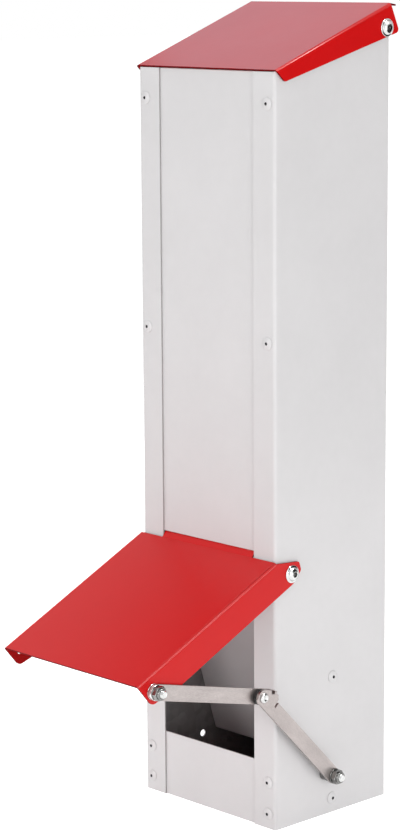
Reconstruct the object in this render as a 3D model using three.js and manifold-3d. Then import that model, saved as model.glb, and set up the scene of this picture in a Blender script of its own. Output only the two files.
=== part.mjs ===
// Outdoor poultry feeder: a folded sheet-steel column with a pitched lid, a rain hood over
// the feeding mouth, and a two-bar folding stay that holds the hood open on the right side.
// Millimetres, +Z up, front at -Y. The origin is on the floor, under the middle of the column.

import * as THREE from 'three';
import { mergeVertices } from 'three/addons/utils/BufferGeometryUtils.js';
import Module from 'manifold-3d';

const wasm = await Module();
wasm.setup();
const degree = Math.PI / 180;

// Column: one sheet folded into right side, back, left side and two front returns
const columnWidth = 145;
const columnDepth = 123;
const columnSheet = 1.2;
const columnBend = 2.5;
const frontReturn = 22.5;
const sillHeight = 51.3;
const hangerSpacing = 70;
const hangerHeight = 480;
const hangerRadius = 3.5;

// Clearances: between fixed sheets, beside turning pieces, and around a shank in its hole
const seatGap = 0.1;
const runningGap = 0.15;
const boreGap = 0.3;
const cutOverrun = 5;

// Blind rivets
const rivetShankRadius = 2.4;
const rivetHeadRadius = 4.75;
const rivetHeadHeight = 1.6;
const rivetRimHeight = 0.5;
const rivetTailRadius = 3.6;
const rivetTailLength = 3;
const mandrelRadius = 1.2;
const mandrelDepth = 1;
const rivetEdge = 7.6;
const trayRivetHeight = 11.6;
const sillRivetHeight = 36.4;
const panelRivetDrop = 22.9;
const panelRivetRise = 95.1;

// Floor tray
const trayFlange = 21;
const trayRelief = 2;

// Feed baffle: a leaning sheet with side flanges turned back and a hem behind the panel
const baffleSheet = 1;
const baffleLean = 17.35;
const baffleFootHeight = 33.5;
const baffleHingeGap = 8.4;
const baffleFlange = 20;
const baffleHem = 12;
const baffleRivetHeight = 108.5;

// Lid
const lidSheet = 1.2;
const lidBend = 2.2;
const lidPitch = 20.67;
const lidHingeInset = 6.5;
const lidHingeHeight = 599.3;
const lidHingeDrop = 15.6;
const lidFrontOverhang = 0.3;
const lidRearReach = 10.5;
const lidLip = 8;
const lidLipAngle = 30;
const lidFlangeFront = 11.2;
const lidFlangeRear = 23.6;
const lidFlangeToe = 4.9;
const lidFlangeHeel = 1.5;
const lidCornerRadius = 3;
const roofGap = 0.3;

// Rain hood
const hoodSheet = 1.2;
const hoodBend = 2.2;
const hoodPitch = 25.5;
const hoodHingeInset = 15.3;
const hoodHingeHeight = 197.8;
const mouthRise = 15.9;
const hoodHingeDrop = 17.4;
const hoodSetback = 10.3;
const hoodLength = 154.6;
const hoodTongue = 7;
const hoodTongueGap = 0.6;
const earReach = 10.6;
const earTopDrop = 13;
const earHeel = 9.8;
const earHeelDrop = 20.2;
const earDepth = 25.1;
const earDepthSetback = 1.9;
const hoodFlangeDepth = 24.8;
const hoodToeLength = 34;
const hoodToeDepth = 20.8;
const hoodToeSlant = 5;
const hoodCornerRadius = 5;
const earCornerRadius = 2.5;

// Hinge screws, and the threaded inserts that they turn in
const screwRadius = 3;
const screwHeadRadius = 6.8;
const screwHeadRim = 1;
const screwDomeRadius = 5.2;
const screwDomeHeight = 2.7;
const screwLength = 13;
const insertFlangeRadius = 6.2;
const insertFlange = 1;
const insertBarrelRadius = 4.2;
const insertLength = 11;

// Folding stay
const barWidth = 12;
const barThickness = 2;
const studInset = 10.7;
const studDrop = 12.1;
const studHeadRadius = 4.2;
const stayFootSetback = 53.1;
const stayFootHeight = 33.6;
const knuckleShare = 0.493;
const knuckleRise = 29.8;
const stayTail = 11.2;
const tabWidth = 2.6;
const tabRelief = 1;
const tabProud = 1.6;
const notchPlay = 0.4;
const lobeReach = 14.5;
const lobeRoot = 15.8;
const lobeCornerRadius = 1.2;
const lobeSlotWidth = 1.8;
const lobeSlotDepth = 4.4;
const spareHoleSetback = 61.5;
const spareHoleHeight = 31.6;

// Stay hardware
const washerRadius = 6;
const washerThickness = 1;
const studWasher = 0.8;
const knuckleWasher = 3.2;
const knuckleWasherRadius = 6;
const knuckleShankRadius = 2.5;
const knuckleHeadRadius = 3.9;
const knuckleHeadHeight = 1.9;
const knuckleTailHeight = 1.4;
const nutFlats = 10;
const nutHexHeight = 4.2;
const nutCollarRadius = 4.3;
const nutCollarHeight = 1.8;
const spacerRadius = 5.2;
const studProud = 2;
const footBoltProud = 1.5;
const boltHeadHeight = 3.2;
const boltHeadRadius = 5;
const boltEndChamfer = 0.7;

// Facets
const roundSegments = 16;
const bendSegments = 4;

// Planes that several pieces share
const side = columnWidth / 2;
const front = -columnDepth / 2;
const rear = columnDepth / 2;
const wallInside = side - columnSheet;
const rivetColumn = side - rivetEdge;
const mouthHalf = side - frontReturn;
const panelFront = front + columnSheet + seatGap;
const panelBack = panelFront + columnSheet;
const panelHalf = side - columnBend - seatGap;
const trayFront = panelBack + seatGap;
const linerFace = wallInside - seatGap;
const insertFace = side + seatGap + insertFlange;
const redInside = insertFace + runningGap;
const hoodOutside = redInside + hoodSheet;
const lidOutside = redInside + lidSheet;
const upperBarFace = hoodOutside + studWasher + 2 * runningGap;
const lowerBarFace = upperBarFace + barThickness + knuckleWasher + 2 * runningGap;

const mouthTop = hoodHingeHeight + mouthRise;

// Axes, as points of the side view (y, z)
const lidHinge = new THREE.Vector2(rear - lidHingeInset, lidHingeHeight);
const hoodHinge = new THREE.Vector2(front + hoodHingeInset, hoodHingeHeight);
const hoodEdge = -hoodSetback - hoodLength;
const studLocal = new THREE.Vector2(hoodEdge + studInset, hoodHingeDrop - studDrop);
const stud = studLocal.clone().rotateAround(new THREE.Vector2(), hoodPitch * degree).add(hoodHinge);
const foot = new THREE.Vector2(front + stayFootSetback, stayFootHeight);
const stayLine = foot.clone().sub(stud);
const stayRise = new THREE.Vector2(-stayLine.y, stayLine.x).setLength(knuckleRise);
const knuckle = stud.clone().addScaledVector(stayLine, knuckleShare).add(stayRise);
const upperAngle = knuckle.clone().sub(stud).angle();
const lowerAngle = foot.clone().sub(knuckle).angle();

// Materials
const whiteCoat = new THREE.MeshStandardMaterial({ color: 0xdad9d9, roughness: 0.45, metalness: 0.0 });
const redCoat = new THREE.MeshStandardMaterial({ color: 0xc81e26, roughness: 0.4, metalness: 0.0 });
const brushedSteel = new THREE.MeshStandardMaterial({ color: 0xc6c0bc, roughness: 0.4, metalness: 1.0 });
const platedSteel = new THREE.MeshStandardMaterial({ color: 0xd2d3d6, roughness: 0.2, metalness: 1.0 });
const blackPolymer = new THREE.MeshStandardMaterial({ color: 0x202022, roughness: 0.6, metalness: 0.0 });
const zincSteel = new THREE.MeshStandardMaterial({ color: 0xb4b6b8, roughness: 0.5, metalness: 0.9 });

// Boolean cuts and joins

// Shares the vertices of a closed surface, and drops the slivers that this leaves.
function welded(geometry) {
  const bare = geometry.clone();
  bare.deleteAttribute('normal');
  bare.deleteAttribute('uv');
  const shell = mergeVertices(bare);
  const kept = [];
  for (let start = 0; start < shell.index.count; start += 3) {
    const [a, b, c] = [0, 1, 2].map((corner) => shell.index.getX(start + corner));
    if (a !== b && b !== c && c !== a) kept.push(a, b, c);
  }
  shell.setIndex(kept);
  return shell;
}

function solidOf(geometry) {
  const shell = welded(geometry);
  const vertProperties = new Float32Array(shell.attributes.position.array);
  const triVerts = new Uint32Array(shell.index.array);
  return new wasm.Manifold(new wasm.Mesh({ numProp: 3, vertProperties, triVerts }));
}

function geometryOf(solid) {
  const result = solid.getMesh();
  const geometry = new THREE.BufferGeometry();
  geometry.setAttribute('position', new THREE.BufferAttribute(result.vertProperties, result.numProp));
  geometry.setIndex(new THREE.BufferAttribute(result.triVerts, 1));
  return geometry;
}

function cut(geometry, tools) {
  let solid = solidOf(geometry);
  for (const tool of tools) solid = solid.subtract(solidOf(tool));
  return geometryOf(solid);
}

function joined(geometries) {
  let solid = solidOf(geometries[0]);
  for (const other of geometries.slice(1)) solid = solid.add(solidOf(other));
  return geometryOf(solid);
}

function common(first, second) {
  return geometryOf(solidOf(first).intersect(solidOf(second)));
}

// Shapes

// Closed outline from corners { x, y, r }, each rounded by its own radius r.
function outline(corners) {
  const shape = new THREE.Shape();
  corners.forEach((corner, index) => {
    const at = new THREE.Vector2(corner.x, corner.y);
    const before = corners[(index + corners.length - 1) % corners.length];
    const after = corners[(index + 1) % corners.length];
    const inward = new THREE.Vector2(before.x, before.y).sub(at).normalize();
    const outward = new THREE.Vector2(after.x, after.y).sub(at).normalize();
    const half = Math.acos(THREE.MathUtils.clamp(inward.dot(outward), -1, 1)) / 2;
    const radius = corner.r || 0;
    if (radius > 0) {
      const start = at.clone().addScaledVector(inward, radius / Math.tan(half));
      const end = at.clone().addScaledVector(outward, radius / Math.tan(half));
      const bisector = inward.clone().add(outward).normalize();
      const centre = at.clone().addScaledVector(bisector, radius / Math.sin(half));
      const turnsRight = inward.cross(outward) > 0;
      const from = start.sub(centre).angle();
      const to = end.sub(centre).angle();
      shape.absarc(centre.x, centre.y, radius, from, to, turnsRight);
    } else if (index === 0) {
      shape.moveTo(at.x, at.y);
    } else {
      shape.lineTo(at.x, at.y);
    }
  });
  shape.closePath();
  return shape;
}

function extruded(shape, depth) {
  const options = { depth, bevelEnabled: false, curveSegments: bendSegments };
  return welded(new THREE.ExtrudeGeometry(shape, options));
}

// Solid of revolution about +Y from (radius, height) pairs. A ring's profile closes on itself.
function spun(profile) {
  const points = profile.map(([radius, height]) => new THREE.Vector2(radius, height));
  return welded(new THREE.LatheGeometry(points, roundSegments));
}

function ring(outerRadius, innerRadius, thickness) {
  return spun([
    [innerRadius, 0],
    [outerRadius, 0],
    [outerRadius, thickness],
    [innerRadius, thickness],
    [innerRadius, 0],
  ]);
}

function hexPrism(flats, height) {
  const shape = new THREE.Shape();
  const cornerRadius = flats / 2 / Math.cos(30 * degree);
  for (let corner = 0; corner < 6; corner += 1) {
    const angle = corner * 60 * degree;
    const across = cornerRadius * Math.cos(angle);
    const up = cornerRadius * Math.sin(angle);
    if (corner === 0) shape.moveTo(across, up);
    else shape.lineTo(across, up);
  }
  shape.closePath();
  return extruded(shape, height).applyMatrix4(turn(['z', 'x', 'y']));
}

// Placement

const unit = {
  x: new THREE.Vector3(1, 0, 0),
  y: new THREE.Vector3(0, 1, 0),
  z: new THREE.Vector3(0, 0, 1),
  '-x': new THREE.Vector3(-1, 0, 0),
  '-y': new THREE.Vector3(0, -1, 0),
  '-z': new THREE.Vector3(0, 0, -1),
};

// Quarter turns: where the local X, Y and Z axes go.
function turn([x, y, z]) {
  return new THREE.Matrix4().makeBasis(unit[x], unit[y], unit[z]);
}

// A shape drawn in the side view (y, z), extruded towards +X from x to x + depth.
function sideProfile(shape, x, depth) {
  return extruded(shape, depth).applyMatrix4(turn(['y', 'z', 'x'])).translate(x, 0, 0);
}

// A spun piece whose +Y axis is laid along +X, or along -X where mirrored.
function acrossAt(geometry, x, point, mirrored = false) {
  const laid = geometry.clone().applyMatrix4(turn(mirrored ? ['y', '-x', 'z'] : ['-y', 'x', 'z']));
  return laid.translate(x, point.x, point.y);
}

// A round cutter along X through both sides at a point of the side view.
function crossDrill(radius, point, from, to) {
  const cutter = new THREE.CylinderGeometry(radius, radius, to - from, roundSegments);
  return acrossAt(cutter, (from + to) / 2, point);
}

// A round cutter along Y at (x, z).
function frontDrill(radius, x, z, y) {
  return new THREE.CylinderGeometry(radius, radius, 2 * cutOverrun, roundSegments).translate(x, y, z);
}

const sideView = (y, z) => new THREE.Vector2(y, z);

// Assembly

const feeder = new THREE.Group();

function addPiece(name, geometry, material, parent = feeder) {
  const mesh = new THREE.Mesh(geometry, material);
  mesh.name = name;
  parent.add(mesh);
}

// The lid and the hood are drawn level, with their hinge axis at the origin, then pitched.
function pitchedGroup(hinge, pitch) {
  const group = new THREE.Group();
  group.position.set(0, hinge.x, hinge.y);
  group.rotation.x = pitch * degree;
  feeder.add(group);
  return group;
}

const lidGroup = pitchedGroup(lidHinge, lidPitch);
const hoodGroup = pitchedGroup(hoodHinge, hoodPitch);

// Column

const roofDrop = lidHingeDrop - lidSheet - roofGap;
const roofNormal = sideView(-Math.sin(lidPitch * degree), Math.cos(lidPitch * degree));
const roofRidge = lidHinge.clone().addScaledVector(roofNormal, roofDrop);
const roofFront = roofRidge.y - (roofRidge.x - front) * Math.tan(lidPitch * degree);
const roofRear = lidHinge.y + Math.sqrt(roofDrop ** 2 - lidHingeInset ** 2);
const panelRivetHigh = roofFront - panelRivetDrop;

// The baffle's front face passes behind the hood's hinge inserts.
const baffleFaceAt = (z) => hoodHinge.x + baffleHingeGap + (hoodHinge.y - z) * Math.tan(baffleLean * degree);
const baffleFoot = sideView(baffleFaceAt(baffleFootHeight), baffleFootHeight);
const baffleBend = baffleFoot.y + (baffleFoot.x - trayFront) / Math.tan(baffleLean * degree);
const panelRivetLow = baffleBend + baffleHem + panelRivetRise;
const flangeMiddle = baffleFlange / 2 / Math.cos(baffleLean * degree);
const baffleRivetPoint = sideView(baffleFaceAt(baffleRivetHeight) + flangeMiddle, baffleRivetHeight);
const trayRivetPoint = sideView(0, trayRivetHeight);
const frontRivetHeights = [trayRivetHeight, sillRivetHeight, panelRivetLow, panelRivetHigh];
const rivetHole = rivetShankRadius + boreGap;
const screwHole = screwRadius + boreGap;
const insertHole = insertBarrelRadius + boreGap;

function columnPlan() {
  const inner = columnBend - columnSheet;
  return outline([
    { x: mouthHalf, y: front },
    { x: side, y: front, r: columnBend },
    { x: side, y: rear, r: columnBend },
    { x: -side, y: rear, r: columnBend },
    { x: -side, y: front, r: columnBend },
    { x: -mouthHalf, y: front },
    { x: -mouthHalf, y: front + columnSheet },
    { x: -wallInside, y: front + columnSheet, r: inner },
    { x: -wallInside, y: rear - columnSheet, r: inner },
    { x: wallInside, y: rear - columnSheet, r: inner },
    { x: wallInside, y: front + columnSheet, r: inner },
    { x: mouthHalf, y: front + columnSheet },
  ]);
}

function columnSide() {
  return outline([
    { x: front - cutOverrun, y: 0 },
    { x: rear + cutOverrun, y: 0 },
    { x: rear + cutOverrun, y: roofRear },
    { x: rear, y: roofRear },
    { x: roofRidge.x, y: roofRidge.y },
    { x: front, y: roofFront },
    { x: front - cutOverrun, y: roofFront },
  ]);
}

function bodyShell() {
  const folded = extruded(columnPlan(), roofRidge.y + cutOverrun);
  const span = 2 * (side + cutOverrun);
  const trimmed = common(folded, sideProfile(columnSide(), -side - cutOverrun, span));
  const drills = [];
  for (const hand of [-1, 1]) {
    const from = hand * side - cutOverrun;
    const to = hand * side + cutOverrun;
    for (const z of frontRivetHeights) drills.push(frontDrill(rivetHole, hand * rivetColumn, z, front));
    for (const point of [baffleRivetPoint, trayRivetPoint]) {
      drills.push(crossDrill(rivetHole, point, from, to));
    }
    for (const hinge of [lidHinge, hoodHinge]) drills.push(crossDrill(insertHole, hinge, from, to));
    drills.push(frontDrill(hangerRadius, hand * hangerSpacing / 2, hangerHeight, rear));
  }
  drills.push(crossDrill(screwHole, foot, side - cutOverrun, side + cutOverrun));
  const spare = sideView(front + spareHoleSetback, spareHoleHeight);
  drills.push(crossDrill(screwHole, spare, -side - cutOverrun, -side + cutOverrun));
  return cut(trimmed, drills);
}

function frontPanel(bottom, top, rivetHeights) {
  const sheet = new THREE.BoxGeometry(2 * panelHalf, columnSheet, top - bottom);
  sheet.translate(0, (panelFront + panelBack) / 2, (bottom + top) / 2);
  const drills = [];
  for (const hand of [-1, 1]) {
    for (const z of rivetHeights) drills.push(frontDrill(rivetHole, hand * rivetColumn, z, panelFront));
  }
  return cut(sheet, drills);
}

function floorTray() {
  const back = rear - columnSheet - seatGap;
  const depth = back - trayFront;
  const middle = (back + trayFront) / 2;
  const block = new THREE.BoxGeometry(2 * linerFace, depth, trayFlange).translate(0, middle, trayFlange / 2);
  const inside = new THREE.BoxGeometry(2 * (linerFace - columnSheet), depth - 2 * columnSheet, trayFlange);
  inside.translate(0, middle, trayFlange / 2 + columnSheet);
  const tools = [inside];
  for (const hand of [-1, 1]) {
    for (const y of [trayFront, back]) {
      const relief = new THREE.BoxGeometry(2 * trayRelief, 2 * trayRelief, 2 * trayFlange + cutOverrun);
      tools.push(relief.translate(hand * linerFace, y, 0));
    }
    tools.push(frontDrill(rivetHole, hand * rivetColumn, trayRivetHeight, trayFront));
    tools.push(crossDrill(rivetHole, trayRivetPoint, hand * side - cutOverrun, hand * side + cutOverrun));
  }
  return cut(block, tools);
}

// The baffle leans from the back of the upper panel down to its foot, above the trough.
function feedBaffle() {
  const slope = Math.tan(baffleLean * degree);
  const hemFace = trayFront;
  const bend = baffleBend;
  const thick = baffleSheet / Math.cos(baffleLean * degree);
  const wide = baffleFlange / Math.cos(baffleLean * degree);
  const sheetSide = outline([
    { x: baffleFoot.x, y: baffleFoot.y },
    { x: baffleFoot.x + thick, y: baffleFoot.y },
    { x: hemFace + baffleSheet, y: bend + (thick - baffleSheet) / slope },
    { x: hemFace + baffleSheet, y: bend + baffleHem },
    { x: hemFace, y: bend + baffleHem },
    { x: hemFace, y: bend },
  ]);
  const flangeSide = outline([
    { x: baffleFoot.x, y: baffleFoot.y },
    { x: baffleFoot.x + wide, y: baffleFoot.y },
    { x: hemFace + wide, y: bend },
    { x: hemFace, y: bend },
  ]);
  const pieces = [
    sideProfile(sheetSide, -linerFace, 2 * linerFace),
    sideProfile(flangeSide, -linerFace, baffleSheet),
    sideProfile(flangeSide, linerFace - baffleSheet, baffleSheet),
  ];
  return cut(joined(pieces), [crossDrill(rivetHole, baffleRivetPoint, -side, side)]);
}

addPiece('body_shell', bodyShell(), whiteCoat);
addPiece('front_upper_panel', frontPanel(mouthTop, roofFront, [panelRivetLow, panelRivetHigh]), whiteCoat);
addPiece('front_lower_panel', frontPanel(0, sillHeight, [trayRivetHeight, sillRivetHeight]), whiteCoat);
addPiece('floor_tray', floorTray(), whiteCoat);
addPiece('feed_baffle', feedBaffle(), whiteCoat);

// Rivets

// Head outside, tail inside, for a stack of sheets of the given grip. Axis +Y points outwards.
function blindRivet(grip) {
  const under = seatGap;
  const tailTop = -grip - seatGap;
  return spun([
    [0, tailTop - rivetTailLength],
    [rivetTailRadius, tailTop - rivetTailLength],
    [rivetTailRadius, tailTop],
    [rivetShankRadius, tailTop],
    [rivetShankRadius, under],
    [rivetHeadRadius, under],
    [rivetHeadRadius, under + rivetRimHeight],
    [(rivetHeadRadius + mandrelRadius) / 2, under + (rivetRimHeight + 3 * rivetHeadHeight) / 4],
    [mandrelRadius, under + rivetHeadHeight],
    [mandrelRadius, under + rivetHeadHeight - mandrelDepth],
    [0, under + rivetHeadHeight - mandrelDepth],
  ]);
}

const sidesOf = { left: -1, right: 1 };
const frontRows = {
  tray: [trayRivetHeight, trayFront + columnSheet - front],
  sill: [sillRivetHeight, panelBack - front],
  panel_low: [panelRivetLow, panelBack - front],
  panel_high: [panelRivetHigh, panelBack - front],
};
for (const [handName, hand] of Object.entries(sidesOf)) {
  for (const [row, [height, grip]] of Object.entries(frontRows)) {
    const rivet = blindRivet(grip).applyMatrix4(turn(['x', '-y', '-z']));
    addPiece(`front_rivet_${row}_${handName}`, rivet.translate(hand * rivetColumn, front, height), whiteCoat);
  }
  const sidePoints = { tray: [trayRivetPoint, columnSheet], baffle: [baffleRivetPoint, baffleSheet] };
  for (const [row, [point, liner]] of Object.entries(sidePoints)) {
    const grip = columnSheet + seatGap + liner;
    const rivet = acrossAt(blindRivet(grip), hand * side, point, hand < 0);
    addPiece(`side_rivet_${row}_${handName}`, rivet, whiteCoat);
  }
}

// Hinge hardware

// Threaded insert: its flange lies on the wall and spaces the red flange off it.
function hingeInsert() {
  return spun([
    [screwHole, -insertLength],
    [insertBarrelRadius, -insertLength],
    [insertBarrelRadius, seatGap],
    [insertFlangeRadius, seatGap],
    [insertFlangeRadius, seatGap + insertFlange],
    [screwHole, seatGap + insertFlange],
    [screwHole, -insertLength],
  ]);
}

// Button-head screw with a rim: the underside of its head is at height 0.
function hingeScrew() {
  const profile = [
    [0, -screwLength],
    [screwRadius, -screwLength],
    [screwRadius, 0],
    [screwHeadRadius, 0],
    [screwHeadRadius, screwHeadRim / 2],
    [screwDomeRadius, screwHeadRim],
  ];
  for (let step = 1; step <= bendSegments; step += 1) {
    const angle = 90 * degree * step / bendSegments;
    const across = step < bendSegments ? screwDomeRadius * Math.cos(angle) : 0;
    profile.push([across, screwHeadRim + screwDomeHeight * Math.sin(angle)]);
  }
  return spun(profile);
}

for (const [handName, hand] of Object.entries(sidesOf)) {
  const hinges = { lid: [lidHinge, lidOutside], hood: [hoodHinge, hoodOutside] };
  for (const [name, [hinge, outside]] of Object.entries(hinges)) {
    const insert = acrossAt(hingeInsert(), hand * side, hinge, hand < 0);
    addPiece(`${name}_hinge_insert_${handName}`, insert, zincSteel);
    const screw = acrossAt(hingeScrew(), hand * (outside + runningGap), hinge, hand < 0);
    addPiece(`${name}_hinge_screw_${handName}`, screw, platedSteel);
  }
}

// Lid and hood, level, seen from the front: a flat top with both sides folded down

function channelSection(outside, sheet, bend, top, depth) {
  const inner = bend - sheet;
  return outline([
    { x: outside, y: top - depth },
    { x: outside, y: top, r: bend },
    { x: -outside, y: top, r: bend },
    { x: -outside, y: top - depth },
    { x: sheet - outside, y: top - depth },
    { x: sheet - outside, y: top - sheet, r: inner },
    { x: outside - sheet, y: top - sheet, r: inner },
    { x: outside - sheet, y: top - depth },
  ]);
}

// The channel runs from y = start to y = end.
function channel(section, start, end) {
  return extruded(section, end - start).applyMatrix4(turn(['x', 'z', '-y'])).translate(0, end, 0);
}

function lidPanel() {
  const pitch = lidPitch * degree;
  const overhang = lidHinge.x - front + lidFrontOverhang;
  const frontEdge = (lidHingeDrop * Math.sin(pitch) - overhang) / Math.cos(pitch);
  const top = lidHingeDrop;
  const heel = lidRearReach + lidFlangeHeel;
  const section = channelSection(lidOutside, lidSheet, lidBend, top, lidFlangeRear);
  const sideShape = outline([
    { x: frontEdge, y: top + cutOverrun },
    { x: frontEdge, y: top - lidSheet },
    { x: frontEdge + lidFlangeToe, y: top - lidFlangeFront, r: lidCornerRadius },
    { x: heel, y: top - lidFlangeRear, r: lidCornerRadius },
    { x: lidRearReach, y: top - lidSheet },
    { x: lidRearReach, y: top + cutOverrun },
  ]);
  const span = 2 * (lidOutside + cutOverrun);
  const body = common(channel(section, frontEdge, heel), sideProfile(sideShape, -span / 2, span));
  const lipAngle = lidLipAngle * degree;
  const lipRun = lidLip * Math.cos(lipAngle);
  const lipFall = lidLip * Math.sin(lipAngle);
  const root = lidRearReach - lidSheet;
  const under = sideView(-Math.sin(lipAngle), -Math.cos(lipAngle)).multiplyScalar(lidSheet);
  const lipSide = outline([
    { x: root, y: top },
    { x: root, y: top - lidSheet },
    { x: lidRearReach - lidSheet * Math.tan(lipAngle / 2), y: top - lidSheet },
    { x: lidRearReach + lipRun + under.x, y: top - lipFall + under.y },
    { x: lidRearReach + lipRun, y: top - lipFall },
    { x: lidRearReach, y: top },
  ]);
  const lipHalf = lidOutside - lidBend;
  const lip = sideProfile(lipSide, -lipHalf, 2 * lipHalf);
  const hole = crossDrill(screwHole, sideView(0, 0), -span / 2, span / 2);
  return cut(joined([body, lip]), [hole]);
}

function hoodSide() {
  const top = hoodHingeDrop;
  return outline([
    { x: hoodEdge, y: top + cutOverrun },
    { x: hoodEdge, y: top - hoodSheet },
    { x: hoodEdge + hoodToeSlant, y: top - hoodToeDepth, r: hoodCornerRadius },
    { x: hoodEdge + hoodToeLength, y: top - hoodFlangeDepth, r: hoodCornerRadius },
    { x: -earDepthSetback, y: top - earDepth, r: hoodCornerRadius },
    { x: earHeel, y: top - earHeelDrop, r: earCornerRadius },
    { x: earReach, y: top - earTopDrop, r: earCornerRadius },
    { x: -hoodSetback, y: top - hoodSheet },
    { x: -hoodSetback, y: top + cutOverrun },
  ]);
}

function hoodPanel() {
  const top = hoodHingeDrop;
  const section = channelSection(hoodOutside, hoodSheet, hoodBend, top, earDepth);
  const span = 2 * (hoodOutside + cutOverrun);
  const folded = channel(section, hoodEdge, earReach);
  const flanged = common(folded, sideProfile(hoodSide(), -span / 2, span));
  const tongueEnd = hoodTongue - hoodSetback;
  const tongue = new THREE.BoxGeometry(2 * (mouthHalf - hoodTongueGap), 2 * hoodTongue, hoodSheet);
  tongue.translate(0, tongueEnd - hoodTongue, top - hoodSheet / 2);
  const tools = [
    crossDrill(screwHole, sideView(0, 0), -span / 2, span / 2),
    crossDrill(studHeadRadius + boreGap, studLocal, 0, span / 2),
    crossDrill(screwHole, studLocal, -span / 2, 0),
  ];
  return cut(joined([flanged, tongue]), tools);
}

addPiece('lid_panel', lidPanel(), redCoat, lidGroup);
addPiece('hood_panel', hoodPanel(), redCoat, hoodGroup);

// Folding stay: a tab on the upper bar's tail rests in a notch in the lower bar's side lobe

const barHalf = barWidth / 2;
const upperLength = knuckle.distanceTo(stud);
const lowerLength = foot.distanceTo(knuckle);
const knuckleHole = knuckleShankRadius + boreGap;
const stayOutside = lowerBarFace + barThickness;
const tabStart = stayTail - barThickness;
const tabLow = barHalf - tabWidth;

function rectangle(left, right, bottom, top) {
  return outline([
    { x: left, y: bottom },
    { x: right, y: bottom },
    { x: right, y: top },
    { x: left, y: top },
  ]);
}

function upperBar() {
  const end = upperLength + stayTail;
  const blade = outline([
    { x: -barHalf, y: -barHalf, r: barHalf },
    { x: end, y: -barHalf },
    { x: end, y: barHalf },
    { x: -barHalf, y: barHalf, r: barHalf },
  ]);
  const tab = rectangle(upperLength + tabStart, end, tabLow, barHalf);
  const tabReach = stayOutside + tabProud - upperBarFace;
  const flat = sideProfile(blade, upperBarFace, barThickness);
  const bar = joined([flat, sideProfile(tab, upperBarFace, tabReach)]);
  const relief = rectangle(end - barThickness - tabRelief, end + cutOverrun, tabLow - tabRelief, tabLow);
  return cut(bar, [
    crossDrill(screwHole, sideView(0, 0), 0, stayOutside + cutOverrun),
    crossDrill(knuckleHole, sideView(upperLength, 0), 0, stayOutside + cutOverrun),
    sideProfile(relief, upperBarFace - cutOverrun, barThickness + 2 * cutOverrun),
  ]);
}

// The lobe lies along the open upper bar, and the tab swings out past the notch's corner.
function lowerBar() {
  const opened = upperAngle - lowerAngle;
  const blade = outline([
    { x: -barHalf, y: -barHalf, r: barHalf },
    { x: lowerLength + barHalf, y: -barHalf, r: barHalf },
    { x: lowerLength + barHalf, y: barHalf, r: barHalf },
    { x: -barHalf, y: barHalf, r: barHalf },
  ]);
  const lobeTop = sideView(0, barHalf).rotateAround(new THREE.Vector2(), opened);
  const lobeTip = sideView(lobeReach, barHalf).rotateAround(new THREE.Vector2(), opened);
  const lobe = outline([
    { x: 0, y: 0 },
    { x: lobeRoot, y: 0 },
    { x: lobeRoot, y: barHalf },
    { x: lobeTip.x, y: lobeTip.y, r: lobeCornerRadius },
    { x: lobeTop.x, y: lobeTop.y },
  ]);
  const tabSweep = Math.hypot(tabStart, tabLow) - notchPlay;
  const notchStart = Math.sqrt(tabSweep ** 2 - barHalf ** 2);
  const notch = rectangle(notchStart, lobeReach + cutOverrun, tabLow - notchPlay, barWidth);
  const slot = rectangle(lobeRoot - lobeSlotWidth, lobeRoot, barHalf - lobeSlotDepth, barWidth);
  const through = (shape) => sideProfile(shape, lowerBarFace - cutOverrun, barThickness + 2 * cutOverrun);
  const flats = [blade, lobe].map((shape) => sideProfile(shape, lowerBarFace, barThickness));
  return cut(joined(flats), [
    crossDrill(knuckleHole, sideView(0, 0), 0, stayOutside + cutOverrun),
    crossDrill(screwHole, sideView(lowerLength, 0), 0, stayOutside + cutOverrun),
    through(notch).rotateX(opened),
    through(slot),
  ]);
}

// A rivet whose height 0 is the upper bar's inner face.
function knuckleRivet() {
  const grip = stayOutside - upperBarFace + runningGap;
  const domeWidth = knuckleHeadRadius * Math.SQRT1_2;
  return spun([
    [0, -runningGap - knuckleTailHeight],
    [domeWidth, -runningGap - knuckleTailHeight],
    [knuckleHeadRadius, -runningGap],
    [knuckleShankRadius, -runningGap],
    [knuckleShankRadius, grip],
    [knuckleHeadRadius, grip],
    [knuckleHeadRadius, grip + knuckleHeadHeight / 4],
    [domeWidth, grip + 3 * knuckleHeadHeight / 4],
    [0, grip + knuckleHeadHeight],
  ]);
}

function lockNut() {
  const height = nutHexHeight + nutCollarHeight;
  const collar = new THREE.CylinderGeometry(nutCollarRadius, nutCollarRadius, height, roundSegments);
  const body = joined([hexPrism(nutFlats, nutHexHeight), collar.translate(0, height / 2, 0)]);
  const bore = new THREE.CylinderGeometry(screwHole, screwHole, 2 * height + cutOverrun, roundSegments);
  return cut(body, [bore]);
}

// A plain threaded shank with its end chamfered, from height 0.
function threadedShank(length, headProfile = [[0, 0]]) {
  return spun([
    ...headProfile,
    [screwRadius, 0],
    [screwRadius, length - boltEndChamfer],
    [screwRadius - boltEndChamfer, length],
    [0, length],
  ]);
}

function stayGroup(point, angle) {
  const group = new THREE.Group();
  group.position.set(0, point.x, point.y);
  group.rotation.x = angle;
  feeder.add(group);
  return group;
}

addPiece('stay_upper_bar', upperBar(), brushedSteel, stayGroup(stud, upperAngle));
addPiece('stay_lower_bar', lowerBar(), brushedSteel, stayGroup(knuckle, lowerAngle));
addPiece('knuckle_rivet', acrossAt(knuckleRivet(), upperBarFace, knuckle), platedSteel);
const knuckleWasherFace = upperBarFace + barThickness + runningGap;
const spacingWasher = ring(knuckleWasherRadius, knuckleHole, knuckleWasher);
addPiece('knuckle_washer', acrossAt(spacingWasher, knuckleWasherFace, knuckle), blackPolymer);

// Stud at the hood, and bolt at the foot

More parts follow.
